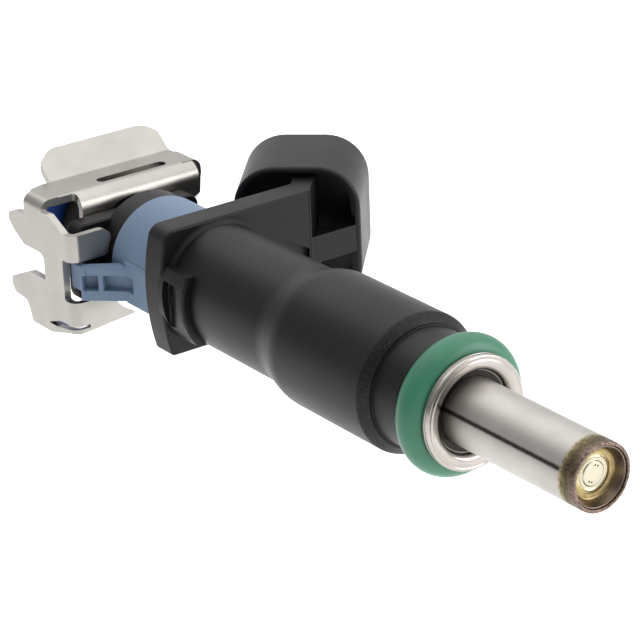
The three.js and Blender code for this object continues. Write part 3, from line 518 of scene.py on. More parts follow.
def drawn_tube_steel():
    """Drawn, seam-welded stainless tube: even and satin, with a dark seam and a weld tint at its tip."""
    material, tree, shader, place, base = steel(
        "drawn_stainless_tube", "#adaaa5", "#bbb8b3", 0.44, stretch=(0.06, 1, 1), grain=0.12,
        depth=0.0003, spread=0.03,
    )
    x, _, angle = around_axis(tree, place)
    # The seam: a dark line 0.3 mm wide, broken up by the welding ripples.
    off = add(tree, "ShaderNodeMath", {0: angle, 1: SEAM_ANGLE}, operation="SUBTRACT").outputs[0]
    off = add(tree, "ShaderNodeMath", {0: off}, operation="ABSOLUTE").outputs[0]
    ripple = add(
        tree, "ShaderNodeTexNoise", {"Vector": place, "Scale": per_mm(0.35), "Detail": 3.0},
    ).outputs["Fac"]
    wander = add(tree, "ShaderNodeMath", {0: ripple, 1: 0.035}, operation="MULTIPLY").outputs[0]
    off = add(tree, "ShaderNodeMath", {0: off, 1: wander}, operation="ADD").outputs[0]
    seam = add(
        tree, "ShaderNodeValToRGB", {"Fac": off}, [(0.05, grey(1)), (0.11, grey(0))],
    ).outputs["Color"]
    colour = add(
        tree, "ShaderNodeMix", {"Factor": seam, "A": base, "B": linear("#3a3633")}, data_type="RGBA",
    ).outputs["Result"]
    # The tint: brown at the tip, then straw, across the last two millimetres, with a ragged edge.
    from_tip = add(tree, "ShaderNodeMath", {0: TIP_X * MM, 1: x}, operation="SUBTRACT").outputs[0]
    ragged = add(
        tree, "ShaderNodeTexNoise", {"Vector": place, "Scale": per_mm(1.7), "Detail": 3.0},
    ).outputs["Fac"]
    edge = add(tree, "ShaderNodeMath", {0: ragged, 1: 0.5}, operation="SUBTRACT").outputs[0]
    edge = add(tree, "ShaderNodeMath", {0: edge, 1: 0.28 * MM}, operation="MULTIPLY").outputs[0]
    from_tip = add(tree, "ShaderNodeMath", {0: from_tip, 1: edge}, operation="ADD").outputs[0]
    reach = add(
        tree, "ShaderNodeMapRange", {"Value": from_tip, "From Min": 0.0, "From Max": TINT_REACH * MM},
    ).outputs[0]
    tint = add(tree, "ShaderNodeValToRGB", {"Fac": reach}, [
        (0.0, linear("#8d7a70")), (0.14, linear("#75655a")), (0.3, linear("#665b48")),
        (0.52, linear("#6d634a")), (0.62, linear("#8f855e")), (0.7, linear("#aea586")),
    ]).outputs["Color"]
    tinted = add(
        tree, "ShaderNodeValToRGB", {"Fac": reach}, [(0.66, grey(1)), (0.78, grey(0))],
    ).outputs["Color"]
    colour = add(
        tree, "ShaderNodeMix", {"Factor": tinted, "A": colour, "B": tint}, data_type="RGBA",
    ).outputs["Result"]
    mottle = add(
        tree, "ShaderNodeTexNoise", {"Vector": place, "Scale": per_mm(0.28), "Detail": 5.0},
    ).outputs["Fac"]
    spots = add(
        tree, "ShaderNodeValToRGB", {"Fac": mottle}, [(0.38, grey(0)), (0.62, grey(0.75))],
    ).outputs["Color"]
    spots = add(tree, "ShaderNodeMath", {0: spots, 1: tinted}, operation="MULTIPLY").outputs[0]
    colour = add(
        tree, "ShaderNodeMix", {"Factor": spots, "A": colour, "B": linear("#463c2e")},
        data_type="RGBA",
    ).outputs["Result"]
    tree.links.new(colour, shader.inputs["Base Color"])
    return material


def spray_plate_steel():
    """Stamped stainless plate: bright in the middle, straw to brown towards the weld round its rim."""
    material, tree, shader, place, base = steel(
        "stamped_plate", "#b9b29d", "#c6bfad", 0.3, grain=0.12, depth=0.0005,
    )
    _, away, _ = around_axis(tree, place)
    wobble = add(
        tree, "ShaderNodeTexNoise", {"Vector": place, "Scale": per_mm(0.8), "Detail": 5.0},
    ).outputs["Fac"]
    shift = add(tree, "ShaderNodeMath", {0: wobble, 1: 0.9 * MM}, operation="MULTIPLY").outputs[0]
    reach = add(tree, "ShaderNodeMath", {0: away, 1: shift}, operation="ADD").outputs[0]
    span = add(
        tree, "ShaderNodeMapRange", {"Value": reach, "From Min": 1.6 * MM, "From Max": 3.8 * MM},
    ).outputs[0]
    tint = add(tree, "ShaderNodeValToRGB", {"Fac": span}, [
        (0.0, linear("#d2ccb8")), (0.3, linear("#bfae7e")), (0.55, linear("#8c7a52")),
        (0.8, linear("#77695f")), (1.0, linear("#8b7a78")),
    ]).outputs["Color"]
    amount = add(
        tree, "ShaderNodeValToRGB", {"Fac": span}, [(0.1, grey(0)), (0.35, grey(1))],
    ).outputs["Color"]
    colour = add(
        tree, "ShaderNodeMix", {"Factor": amount, "A": base, "B": tint}, data_type="RGBA",
    ).outputs["Result"]
    tree.links.new(colour, shader.inputs["Base Color"])
    return material


def polished_collar_steel():
    """Turned and polished stainless: bright, with fine tool rings round it and painted shade in its gap
    round the tube.
    """
    material, tree, shader, place, base = steel(
        "polished_collar", "#a49e98", "#b5afa9", 0.22, grain=0.3, depth=0, spread=0.03,
    )
    x, away, _ = around_axis(tree, place)
    across = add(tree, "ShaderNodeCombineXYZ", {"X": away, "Y": x}).outputs["Vector"]
    rings = add(
        tree, "ShaderNodeTexNoise", {"Vector": across, "Scale": per_mm(0.12), "Detail": 2.0},
    ).outputs["Fac"]
    # Painted shade: the collar darkens towards the tube, across the gap round it.
    depth = add(
        tree, "ShaderNodeMapRange",
        {"Value": away, "From Min": TUBE_R * MM, "From Max": (TUBE_R + 1.0) * MM},
    ).outputs[0]
    gap = add(
        tree, "ShaderNodeValToRGB", {"Fac": depth}, [(0.6, grey(1)), (0.85, grey(0))],
    ).outputs["Color"]
    # Mixes the dark painted-shade colour into the inner lip.
    colour = add(
        tree, "ShaderNodeMix", {"Factor": gap, "A": base, "B": linear("#2c2927")}, data_type="RGBA",
    ).outputs["Result"]
    tree.links.new(colour, shader.inputs["Base Color"])
    grained = add(tree, "ShaderNodeBump", {"Height": rings, "Distance": 0.0006 * MM, "Strength": 1.0})
    tree.links.new(grained.outputs["Normal"], shader.inputs["Normal"])
    return material


black_nylon = body_nylon()
# Dyed nylon without glass: flat and chalky beside the black.
blue_nylon = moulded_nylon("pale_blue_nylon", "#64778f", "#6e8198", 0.44)[0]
# Undyed nylon: a warm, milky amber.
bobbin_nylon = moulded_nylon("natural_nylon", "#a8946c", "#b9a67e", 0.5)[0]
# Woven filter cloth moulded into a cup: pale, with a coarse matt weave.
filter_nylon = moulded_nylon("filter_nylon", "#c8c2ae", "#d9d4c4", 0.6, grain=0.3, depth=0.02)[0]
green_rubber = fluoro_rubber("green_fluoro_rubber", "#2c6b51", "#32775b")
blue_rubber = fluoro_rubber("blue_fluoro_rubber", "#16408c", "#1d4b9b")
tube_steel = drawn_tube_steel()
plate_steel = spray_plate_steel()
collar_steel = polished_collar_steel()
# Cold-rolled spring strip: soft broad highlights and a faint grain along the strip.
clip_steel = steel(
    "rolled_strip", "#a29f9a", "#aeaba5", 0.34, stretch=(1, 0.08, 1), grain=0.12, depth=0.0003,
    spread=0.03,
)[0]
# Drawn stainless, flared cold: brighter than the long tube, with its lines along the axis.
inlet_steel = steel("inlet_tube_steel", "#b0aba4", "#c2bdb7", 0.25, stretch=(0.08, 1, 1))[0]
# Centreless-ground stainless: fine rings round the axis.
ground_steel = steel("ground_steel", "#9a9793", "#b0ada9", 0.3, stretch=(1, 0.1, 0.1))[0]
# Turned magnetic steel: greyer and duller, with the tool's rings.
magnet_steel = steel("turned_magnet_steel", "#83807c", "#9b9894", 0.38, stretch=(1, 0.1, 0.1))[0]
# Drawn spring wire: bright and even.
spring_steel = steel("spring_wire", "#9c9994", "#b4b1ac", 0.25)[0]
# A lapped ball: a mirror.
ball_steel = steel("lapped_ball", "#c8c8c8", "#d2d2d2", 0.08, spread=0.02, depth=0.0005)[0]
# Pressed brass: warm yellow.
brass = steel("plain_brass", "#b08f4a", "#c7a765", 0.28)[0]
# Enamelled copper wire: orange brown, with the turns running round.
copper_wire = steel(
    "enamelled_copper", "#a4602e", "#bd7440", 0.3, stretch=(1, 0.05, 0.05), grain=0.2,
)[0]
# Tinned brass: pale, a little yellow.
tin_plate = steel("tinned_terminal_brass", "#c4bea6", "#d4cfba", 0.26)[0]

for names, material in (
    (("valve_seat", "ball_guide", "needle_tube", "adjusting_sleeve", "oring_seat"), ground_steel),
    (("armature", "pole_core", "magnet_housing", "flux_washer"), magnet_steel),
    (("valve_ball",), ball_steel),
    (("return_spring",), spring_steel),
    (("coil_bobbin",), bobbin_nylon),
    (("coil_winding",), copper_wire),
    (("terminal_upper", "terminal_lower"), tin_plate),
):
    for name in names:
        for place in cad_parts[name].material_slots:
            place.link = "OBJECT"
            place.material = material

# ---- turned pieces ------------------------------------------------------------------------------


def valve_tube():
    groove_x = TIP_X - 1.2
    bore_r = TUBE_R - TUBE_WALL
    outline = fillet([
        (TUBE_REAR_X, bore_r, 0), (TIP_X - 0.7, bore_r, 0), (TIP_X, bore_r + 0.07, 0.08),
        (TIP_X, TUBE_R - 0.03, 0.16), (TIP_X - 0.5, TUBE_R, 0), (groove_x + 0.12, TUBE_R, 0.05),
        (groove_x, TUBE_R - 0.06, 0.06), (groove_x - 0.12, TUBE_R, 0.05), (TUBE_REAR_X, TUBE_R, 0),
    ])
    piece = new_piece("steel_tube", turned(outline))
    return finish_piece(piece, tube_steel, ["valve_tube"])


def spray_plate():
    floor_x = TIP_X - 1.3
    rim_r = TUBE_R - TUBE_WALL - FIT / 2
    outline = fillet([
        (floor_x - 0.35, 0, 0), (floor_x + 0.1, 0, 0), (floor_x + 0.1, 1.2, 0.06),
        (floor_x - 0.02, 1.32, 0.06), (floor_x, 1.55, 0.04), (floor_x + 0.06, 1.68, 0.05),
        (floor_x, 1.82, 0.05), (floor_x - 0.05, 2.1, 0.1), (floor_x + 0.05, 2.55, 0.25),
        (TIP_X - 0.2, rim_r - 0.1, 0.06), (TIP_X - 0.2, rim_r, 0), (floor_x - 0.35, rim_r, 0),
    ])
    steps = [turned(outline)]
    for degrees in (50, 75, 230, 255):
        a = radians(degrees)
        steps.append(("DIFFERENCE", drill(floor_x, 0.85 * cos(a), 0.85 * sin(a), 0.1, 2)))
    piece = shaped("dished_plate", steps)
    return finish_piece(piece, plate_steel, ["spray_plate"])


def lower_collar():
    """A pressed collar. Its lip rolls over a gap round the tube, and a thin web holds it there."""
    hole_r = TUBE_R + 0.75
    front = COLLAR_FRONT_X
    web = 0.12
    outline = fillet([
        (COLLAR_X, TUBE_R + FIT, 0), (COLLAR_X + web, TUBE_R + FIT, 0), (COLLAR_X + web, hole_r, 0.05),
        (front, hole_r, 0.75), (front, 5.35, 0.2), (front - 0.06, 5.5, 0.1), (front - 0.06, 5.62, 0.05),
        (front, 5.7, 0.06), (front, COLLAR_R, 0.2), (front - 0.5, COLLAR_R, 0.06),
        (front - 0.55, COLLAR_R - 0.08, 0.03), (front - 0.6, COLLAR_R, 0.03), (COLLAR_X, COLLAR_R, 0.05),
    ], steps=6)
    piece = new_piece("polished_collar", turned(outline))
    return finish_piece(piece, collar_steel, ["lower_collar"])


def oring(name, node, x, material):
    """A ring of round cord, with the fine flash line its mould leaves inside and out."""
    outline = []
    sides = 48
    for k in range(sides):
        a = 2 * pi * k / sides
        r = RING_CORD_R * (1.004 if k in (sides // 4, 3 * sides // 4) else 1)
        outline.append((x + r * cos(a), RING_R + r * sin(a)))
    piece = new_piece(name, turned(outline))
    return finish_piece(piece, material, [node], angle=60)


def rear_spacer():
    outline = fillet([
        (RING_CORD_R + FIT, INLET_R + FIT, 0), (SPACER_FRONT_X, INLET_R + FIT, 0),
        (SPACER_FRONT_X, SPACER_R, 0.3), (RING_CORD_R + FIT, SPACER_R, 0.3),
    ])
    piece = new_piece("backing_ring", turned(outline))
    return finish_piece(piece, black_nylon, ["rear_spacer"])


def inlet_end():
    inner = INLET_R - 0.8
    front = TUBE_REAR_X - 0.12
    outline = fillet([
        (INLET_X, inner, 0.2), (front, inner, 0), (front, INLET_R, 0), (INLET_X + 1.3, INLET_R, 0.2),
        (INLET_X + 1.3, INLET_LIP_R, 0.2), (INLET_X + 0.5, INLET_LIP_R, 0.3),
        (INLET_X, INLET_LIP_R - 0.5, 0.3),
    ])
    piece = new_piece("flared_inlet", turned(outline))
    finish_piece(piece, inlet_steel, ["inlet_tube"])
    ring_low, ring_high = low_mm("filter_ring"), high_mm("filter_ring")
    outer = ring_high.z
    outline = fillet([
        (ring_low.x, outer - 0.35, 0.1), (ring_high.x, outer - 0.35, 0), (ring_high.x, outer, 0),
        (ring_low.x, outer, 0.1),
    ])
    piece = new_piece("pressed_ring", turned(outline))
    finish_piece(piece, brass, ["filter_ring"])
    rear, front = low_mm("inlet_filter").x, high_mm("inlet_filter").x
    top = high_mm("inlet_filter").z
    outline = fillet([
        (rear, top - 0.35, 0.1), (front - 0.7, top - 0.95, 0.4), (front - 0.7, 0, 0), (front, 0, 0),
        (front, top - 0.6, 0.4), (rear, top, 0.1),
    ])
    piece = new_piece("filter_cup", turned(outline))
    finish_piece(piece, filter_nylon, ["inlet_filter"])


valve_tube()
spray_plate()
lower_collar()
oring("green_ring", "lower_oring", LOWER_RING_X, green_rubber)
oring("blue_ring", "upper_oring", 0.0, blue_rubber)
rear_spacer()
inlet_end()

# ---- moulded body -------------------------------------------------------------------------------
ACROSS = Vector((cos(PLUG_TILT), sin(PLUG_TILT), 0))
FORWARD = Vector((-sin(PLUG_TILT), cos(PLUG_TILT), 0))


def in_plug(outline, low, high, soften=0.0, segments=3):
    """A (z, across) outline pushed along the connector, from its back rim at 0 towards its mouth."""
    turn = Matrix((Vector((0, 0, 1)), ACROSS, FORWARD)).transposed()
    bm = pushed(outline, turn, low, high, soften, segments)
    return placed(bm, Matrix.Translation(PLUG_CENTRE))


def plug_outline(inset, steps=10):
    z = PLUG_HALF_H - inset
    w = PLUG_HALF_W - inset
    r = PLUG_CORNER_R - inset
    return fillet([(-z, -w, r), (z, -w, r), (z, w, r), (-z, w, r)], steps)


def flange_corners():
    low, high = -FLANGE_HALF_Z, FLANGE_HALF_Z
    bulge = []
    for k in range(1, 12):
        z = high - 1.6 - (2 * high - 2.0) * k / 12
        bulge.append((FLANGE_LEFT_Y - 1.0 * (1 - (z / high) ** 2), z, 0))
    return [
        (FLANGE_LEFT_Y, low, 0.5), (FLANGE_REACH_Y, low, 0), (FLANGE_REACH_Y, high, 0),
        (FLANGE_LEFT_Y, high, 1.6), *bulge,
    ]


def body_core():
    blend_x = NECK_FRONT_X - NECK_LENGTH - SLEEVE_CHAMFER - SLEEVE_LENGTH
    sleeve_front = NECK_FRONT_X - NECK_LENGTH
    tube_bore = TUBE_R + FIT
    housing_bore = high_mm("magnet_housing").z + FIT
    seam = 0.12
    return turned(fillet([
        (CARRIER_X - 1.1, INLET_R + FIT, 0), (TUBE_REAR_X, INLET_R + FIT, 0),
        (TUBE_REAR_X, tube_bore, 0), (HOUSING_X - seam, tube_bore, 0),
        (HOUSING_X - seam, housing_bore, 0), (HOUSING_FRONT_X + seam, housing_bore, 0),
        (HOUSING_FRONT_X + seam, tube_bore, 0), (NECK_FRONT_X, tube_bore, 0),
        (NECK_FRONT_X, NECK_R, 0.35), (sleeve_front, NECK_R, 0.1),
        (sleeve_front, NECK_R + 0.3, 0.12), (sleeve_front - SLEEVE_CHAMFER, SLEEVE_R, 0.5),
        (blend_x + SLEEVE_BLEND, SLEEVE_R, 6.5), (blend_x - 0.5, BODY_R, 7.5),
        (FLANGE_FRONT_X + 0.45, BODY_R, 0.3), (FLANGE_FRONT_X + 0.14, BODY_R + 0.36, 0),
        (FLANGE_FRONT_X + 0.14, BODY_R + 0.5, 0.04), (FLANGE_FRONT_X, BODY_R + 0.52, 0),
        (FLANGE_X, BODY_R, 0), (FLANGE_X, REAR_NECK_R, 0), (CARRIER_X - 1.1, REAR_NECK_R, 0.3),
    ], steps=6))


def overmould():
    plate = pushed(
        fillet(flange_corners(), 6), "X", FLANGE_X, FLANGE_FRONT_X, soften=0.28,
    )
    boss_r = BODY_R + 0.85
    boss = shaped("boss", [
        turned(fillet([
            (FLANGE_FRONT_X - 0.5, 4, 0), (FLANGE_FRONT_X + BOSS_LENGTH, 4, 0),
            (FLANGE_FRONT_X + BOSS_LENGTH, boss_r, 0.25), (FLANGE_FRONT_X - 0.5, boss_r, 0),
        ])),
        ("INTERSECT", brick(FLANGE_X, TIP_X, -20, -2, BOSS_LOW_Z, BOSS_HIGH_Z, soften=0.2)),
    ], None)
    # A scoop in the boss: a slot beside the flange and a ramp out of it.
    pocket = pushed(
        [(FLANGE_FRONT_X + 0.4, -12), (FLANGE_FRONT_X + 0.4, -6.4), (FLANGE_FRONT_X + 1.1, -6.45),
         (FLANGE_FRONT_X + 3.2, -7.3), (FLANGE_FRONT_X + 3.2, -12)],
        "Z", BOSS_LOW_Z + 1.4, BOSS_HIGH_Z - 1.3, soften=0.25,
    )
    rib_slot = pushed(
        [(9.2, 2.3), (9.2, -1.5), (12.3, -1.5), (12.3, 0.5)],
        "X", FLANGE_FRONT_X - 0.6, FLANGE_FRONT_X + 1, soften=0.1,
    )
    half = 1.25
    offset = 0.85
    stalk_z = FLANGE_HALF_Z
    stalk = in_plug(
        [(-stalk_z, offset - half), (stalk_z, offset - half), (stalk_z, offset + half),
         (-stalk_z, offset + half)],
        -4.2, PLUG_BACK_POCKET + 0.3, soften=0.18,
    )
    bar_end = PLUG_CENTRE.y + (PLUG_HALF_W - 0.9) * sin(PLUG_TILT) + 0.7
    bar = brick(
        FLANGE_FRONT_X - 2.2, FLANGE_FRONT_X, FLANGE_REACH_Y - 0.5, bar_end, -1.6, 1.6, soften=0.15,
    )
    shroud = in_plug(plug_outline(0), 0, PLUG_LENGTH, soften=0.5)
    back = in_plug(plug_outline(0.6), -1, 1.1, soften=0.0)
    back_inner = in_plug(plug_outline(1.15), -1, PLUG_BACK_POCKET, soften=0.0)
    mouth = in_plug(plug_outline(PLUG_WALL), PLUG_BACK_POCKET + PLUG_FLOOR, PLUG_LENGTH + 1)
    hollow = rod(FLANGE_X - 1, FLANGE_FRONT_X + BOSS_LENGTH + 1, BODY_R - 0.6)
    steps = [
        shroud,
        ("DIFFERENCE", back),
        ("DIFFERENCE", back_inner),
        ("DIFFERENCE", mouth),
        ("UNION", stalk),
        ("UNION", bar),
        ("UNION", boss),
        ("DIFFERENCE", pocket),
        ("UNION", plate),
        ("DIFFERENCE", rib_slot),
        ("DIFFERENCE", hollow),
        ("UNION", body_core()),
    ]
    piece = shaped("moulded_body", steps)
    finish_piece(piece, black_nylon, ["overmould_body"])
    weigh_normals(piece)
    return piece


overmould()

# ---- index ring and clip carrier ----------------------------------------------------------------


def index_ring():
    front = FLANGE_X - FIT
    bore_r = REAR_NECK_R + FIT
    ring = turned(fillet([
        (RING_REAR_X, SOLID_R, 0), (front, SOLID_R, 0), (front, INDEX_RING_R, 0.05),
        (RING_REAR_X, INDEX_RING_R, 0.2),
    ]))
    slope = 1.04
    tip_x = RING_REAR_X - 0.35
    tip_y = CLIP_LEFT_Y + 0.7
    face_y = -INDEX_RING_R - 0.15
    root_x = tip_x + (face_y - tip_y) / slope
    lean = hypot(1, slope)
    thick = 1.9
    inner_x = root_x + 1.5
    inner_y = tip_y + (inner_x - tip_x) * slope
    arm = pushed(
        fillet([
            (tip_x, tip_y, 0.15), (inner_x, inner_y, 0),
            (inner_x - thick * slope / lean, inner_y + thick / lean, 0),
            (tip_x - 0.3, tip_y + 1.2, 0.3),
        ]),
        "Z", ARM_LOW_Z, ARM_HIGH_Z, soften=0.14,
    )
    gusset = pushed(
        [(root_x - 0.2, face_y), (front - 0.03, face_y), (front - 0.03, face_y + 2),
         (RING_REAR_X + 0.3, face_y + 2), (RING_REAR_X + 0.3, face_y + 0.9)],
        "Z", ARM_LOW_Z - 0.3, ARM_HIGH_Z + 0.6, soften=0.25,
    )
    # The arm's end goes on behind the clip's wall and shows in its window.
    tongue = brick(
        CLIP_FRONT_X - 1.75, tip_x + 0.6, CLIP_LEFT_Y + 0.95, CLIP_LEFT_Y + 1.9, ARM_LOW_Z + 1.0,
        ARM_HIGH_Z - 0.05, soften=0.12,
    )
    depth = 1.05
    mid_x = tip_x + (root_x - tip_x) * 0.45

    def face_at(x):
        return min(tip_y + (x - tip_x) * slope, face_y)

    def pocket(x0, x1):
        outline = [
            (x0, face_at(x0) - 0.3), (x0 + 1.2, face_at(x0) - 1.2), (x1 + 1.2, face_at(x1) - 1.2),
            (x1, face_at(x1) - 0.3), (x1, face_at(x1)), (x1 - depth * 0.7, face_at(x1) + depth),
            (x0 - depth * 0.5, face_at(x0) + depth * 0.8), (x0, face_at(x0)),
        ]
        return pushed(outline, "Z", ARM_LOW_Z + 1.2, ARM_HIGH_Z - 1.0, soften=0.12)

    steps = [
        ring,
        ("UNION", arm),
        ("UNION", gusset),
        ("UNION", tongue),
        ("DIFFERENCE", pocket(tip_x + 0.25, mid_x - 0.18)),
        ("DIFFERENCE", pocket(mid_x + 0.18, root_x + 1.2)),
        ("DIFFERENCE", rod(RING_REAR_X - 1, FLANGE_X + 1, bore_r, AROUND)),
    ]
    piece = shaped("keyed_ring", steps)
    finish_piece(piece, blue_nylon, ["index_ring"])
    weigh_normals(piece)
    return piece


def clip_carrier():
    bore_r = REAR_NECK_R + FIT
    ring_x = CARRIER_X + 1.9
    ring = turned(fillet([
        (ring_x, SOLID_R, 0), (RING_REAR_X - FIT, SOLID_R, 0), (RING_REAR_X - FIT, CARRIER_RING_R, 0.05),
        (ring_x, CARRIER_RING_R, 0.12),
    ]))
    left, right = low_mm("clip_carrier").y, high_mm("clip_carrier").y
    half = 4.6
    plate = pushed(
        fillet([(left, -half, 1.4), (right, -half, 1.4), (right, half, 1.4), (left, half, 1.4)], 8),
        "X", CARRIER_X, CARRIER_X + CARRIER_PLATE, soften=0.3,
    )
    steps = [plate, ("UNION", ring), ("DIFFERENCE", rod(CARRIER_X - 1, RING_REAR_X + 1, bore_r, AROUND))]
    piece = shaped("grip_plate", steps)
    finish_piece(piece, black_nylon, ["clip_carrier"])
    weigh_normals(piece)
    return piece


index_ring()
clip_carrier()

# ---- retaining clip -----------------------------------------------------------------------------


def retaining_clip():
    rear_x = 2.6
    rise = radians(40)
    handle = 4.0
    slot_front_x = CARRIER_X - 0.2
    plate_x = slot_front_x - SHEET
    corner_x = rear_x + 4.8
    low_z = 2.7
    plate_left, plate_right = -6.7, 9.4
    handle_tip = (CLIP_TOP_Z + handle * sin(rise), rear_x - handle * cos(rise))
    section = bent(
        [handle_tip, (CLIP_TOP_Z, rear_x), (CLIP_TOP_Z, slot_front_x), (low_z, slot_front_x)], bend_r=1.9,
    )
    strip = pushed(section, "Y", CLIP_LEFT_Y + BEND_R, CLIP_RIGHT_Y - BEND_R)
    slope = Matrix((
        Vector((-cos(rise), 0, sin(rise))), Vector((0, 1, 0)), Vector((-sin(rise), 0, -cos(rise))),
    )).transposed()
    handle_plan = placed(
        pushed(
            fillet([(-5, -7.0, 0), (handle, -7.0, 2.8), (handle, 9.1, 2.8), (-5, 9.1, 0)], 10),
            slope, -2, 2,
        ),
        Matrix.Translation((rear_x, 0, CLIP_TOP_Z)),
    )
    plate_plan = pushed(
        fillet([
            (rear_x + 0.2, CLIP_LEFT_Y + 2.8, 0.8), (rear_x + 1.1, CLIP_LEFT_Y, 0),
            (corner_x, CLIP_LEFT_Y, 0), (corner_x, plate_left, 0.5), (slot_front_x + 1, plate_left, 0),
            (slot_front_x + 1, plate_right, 0), (corner_x, plate_right, 0.3),
            (rear_x + 1.1, CLIP_RIGHT_Y, 0), (rear_x + 0.2, CLIP_RIGHT_Y - 2.2, 0.5),
        ]),
        "Z", low_z - 1, CLIP_TOP_Z + 1,
    )
    slot = pushed(
        fillet([(rear_x + 2.75, -2.9, 0.62), (rear_x + 4.05, -2.9, 0.62), (rear_x + 4.05, 6.1, 0.62),
                (rear_x + 2.75, 6.1, 0.62)], 8),
        "Z", CLIP_TOP_Z - 2, CLIP_TOP_Z + 1,
    )
    lower_right = pushed(
        [(plate_right + 1, low_z - 1), (7.4, low_z - 1), (7.4, low_z), (plate_right, low_z + 1.1),
         (plate_right + 1, low_z + 1.1)],
        "X", plate_x - 1, slot_front_x + 1,
    )
    neck_r = REAR_NECK_R + 0.4
    top = shaped("clip_top", [
        handle_plan,
        ("UNION", plate_plan),
        ("INTERSECT", strip),
        ("DIFFERENCE", rod(plate_x - 1, slot_front_x + 1, neck_r)),
        ("DIFFERENCE", brick(plate_x - 1, slot_front_x + 1, -neck_r, neck_r, -10, 0)),
        ("DIFFERENCE", slot),
        ("DIFFERENCE", lower_right),
    ], None)

    rear_edge = [
        (CLIP_TOP_Z, rear_x + 1.5, 0), (4.4, rear_x + 1.0, 0.1), (4.3, rear_x - 0.9, 0.5),
        (3.8, rear_x - 2.3, 0.3), (2.9, rear_x - 2.5, 0.4), (1.9, rear_x - 1.5, 0.3),
        (0.7, rear_x + 0.5, 0.8), (0.7, rear_x + 4.1, 0.35), (0.2, rear_x + 4.7, 0.35),
        (-2.35, rear_x + 4.7, 0.15), (-2.35, rear_x + 1.3, 0.4), (-4.1, rear_x - 2.7, 0.3),
        (-5.1, rear_x - 2.8, 0.4), (-5.9, rear_x - 2.2, 0.3), (-6.1, rear_x + 0.1, 0.3),
        (-6.9, rear_x + 0.7, 0.3), (CLIP_LOW_Z, rear_x + 1.2, 0.4),
    ]
    fold_z = CLIP_TOP_Z - BEND_R + 0.01
    reach_y = -3.4
    tab_z = 4.35
    front_low_z = -7.25
    blank = pushed(
        bent([(rear_x - 6, CLIP_LEFT_Y), (CLIP_FRONT_X, CLIP_LEFT_Y), (CLIP_FRONT_X, reach_y)]),
        "Z", CLIP_LOW_Z, fold_z,
    )
    keep = pushed(
        fillet([
            *rear_edge, (CLIP_LOW_Z, rear_x + 5.3, 0.5), (front_low_z, CLIP_FRONT_X - BEND_R, 0.3),
            (front_low_z, CLIP_FRONT_X + 1, 0), (tab_z, CLIP_FRONT_X + 1, 0),
            (tab_z, CLIP_FRONT_X - 1.5, 0.5), (5.75, corner_x + 1.4, 0.4), (CLIP_TOP_Z, corner_x, 0),
        ]),
        "Y", CLIP_LEFT_Y - 1, 0,
    )
    low_edge = pushed(
        [(CLIP_LEFT_Y, front_low_z), (reach_y + 0.2, front_low_z + 0.75), (reach_y + 1, -9),
         (CLIP_LEFT_Y, -9)],
        "X", CLIP_FRONT_X - BEND_R, CLIP_FRONT_X + 1,
    )
    window_low, window_high = ARM_LOW_Z - 0.45, ARM_HIGH_Z + 0.35
    window = pushed(
        fillet([(window_low, CLIP_FRONT_X - 1.9, 0.3), (window_low, CLIP_FRONT_X + 1, 0),
                (window_high, CLIP_FRONT_X + 1, 0), (window_high, CLIP_FRONT_X - 1.9, 0.3)]),
        "Y", -20, 0,
    )
    upper_reach_y = -5.9
    tab_corners = shaped("clip_tab_corners", [
        brick(CLIP_FRONT_X - 1, CLIP_FRONT_X + 1, upper_reach_y - 1.6, 0, window_high - 0.1, 6),
        ("DIFFERENCE", pushed(
            fillet([(-20, window_high, 0), (upper_reach_y, window_high, 1.3),
                    (upper_reach_y, tab_z, 1.3), (-20, tab_z, 0)], 8),
            "X", CLIP_FRONT_X - 2, CLIP_FRONT_X + 2,
        )),
    ], None)
    slit = pushed(
        fillet([
            (-7.35, rear_x + 4.7, 0.05), (-6.45, CLIP_FRONT_X - 3.4, 0.4), (-6.2, CLIP_FRONT_X + 1, 0),
            (-6.5, CLIP_FRONT_X + 1, 0), (-7.35, CLIP_FRONT_X - 4.2, 0.3),
        ]),
        "Y", CLIP_LEFT_Y - 1, -9.3,
    )
    lower_bore = shaped("clip_lower_bore", [
        rod(CLIP_FRONT_X - 2, CLIP_FRONT_X + 1, 7.3),
        ("DIFFERENCE", brick(CLIP_FRONT_X - 3, CLIP_FRONT_X + 2, -20, 20, 0, 20)),
    ], None)
    left_wall = shaped("clip_left_wall", [
        keep,
        ("INTERSECT", blank),
        ("DIFFERENCE", low_edge),
        ("DIFFERENCE", window),
        ("DIFFERENCE", rod(CLIP_FRONT_X - 2, CLIP_FRONT_X + 1, 6.6)),
        ("DIFFERENCE", tab_corners),
        ("DIFFERENCE", slit),
    ], None)
    right_wall = shaped("clip_right_wall", [
        pushed(
            fillet([*rear_edge[:7], (0.7, rear_x + 2.6, 0.5), (2.6, corner_x - 0.4, 0.5),
                    (fold_z, corner_x, 0), (CLIP_TOP_Z, corner_x, 0)]),
            "Y", CLIP_RIGHT_Y - SHEET, CLIP_RIGHT_Y,
        ),
        ("DIFFERENCE", brick(-20, 40, 0, 20, fold_z, 20)),
    ], None)

    bottom_tab = new_piece(
        "clip_bottom_tab",
        pushed(
            [(rear_x + 1.6, CLIP_LEFT_Y + 0.2), (rear_x + 5.2, CLIP_LEFT_Y + 0.2),
             (rear_x + 6.6, CLIP_LEFT_Y + 1.4), (rear_x + 6.6, CLIP_LEFT_Y + 4.8),
             (rear_x + 1.0, CLIP_LEFT_Y + 4.8)],
            "Z", CLIP_LOW_Z + 0.08, CLIP_LOW_Z + 0.78,
        ),
        None,
    )

    def crease(y, inward):
        path = [(y, CLIP_TOP_Z - 2), (y, CLIP_TOP_Z), (y + inward * 2.4, CLIP_TOP_Z)]
        return pushed(bent(path if inward < 0 else path[::-1]), "X", rear_x + 1.1, corner_x)

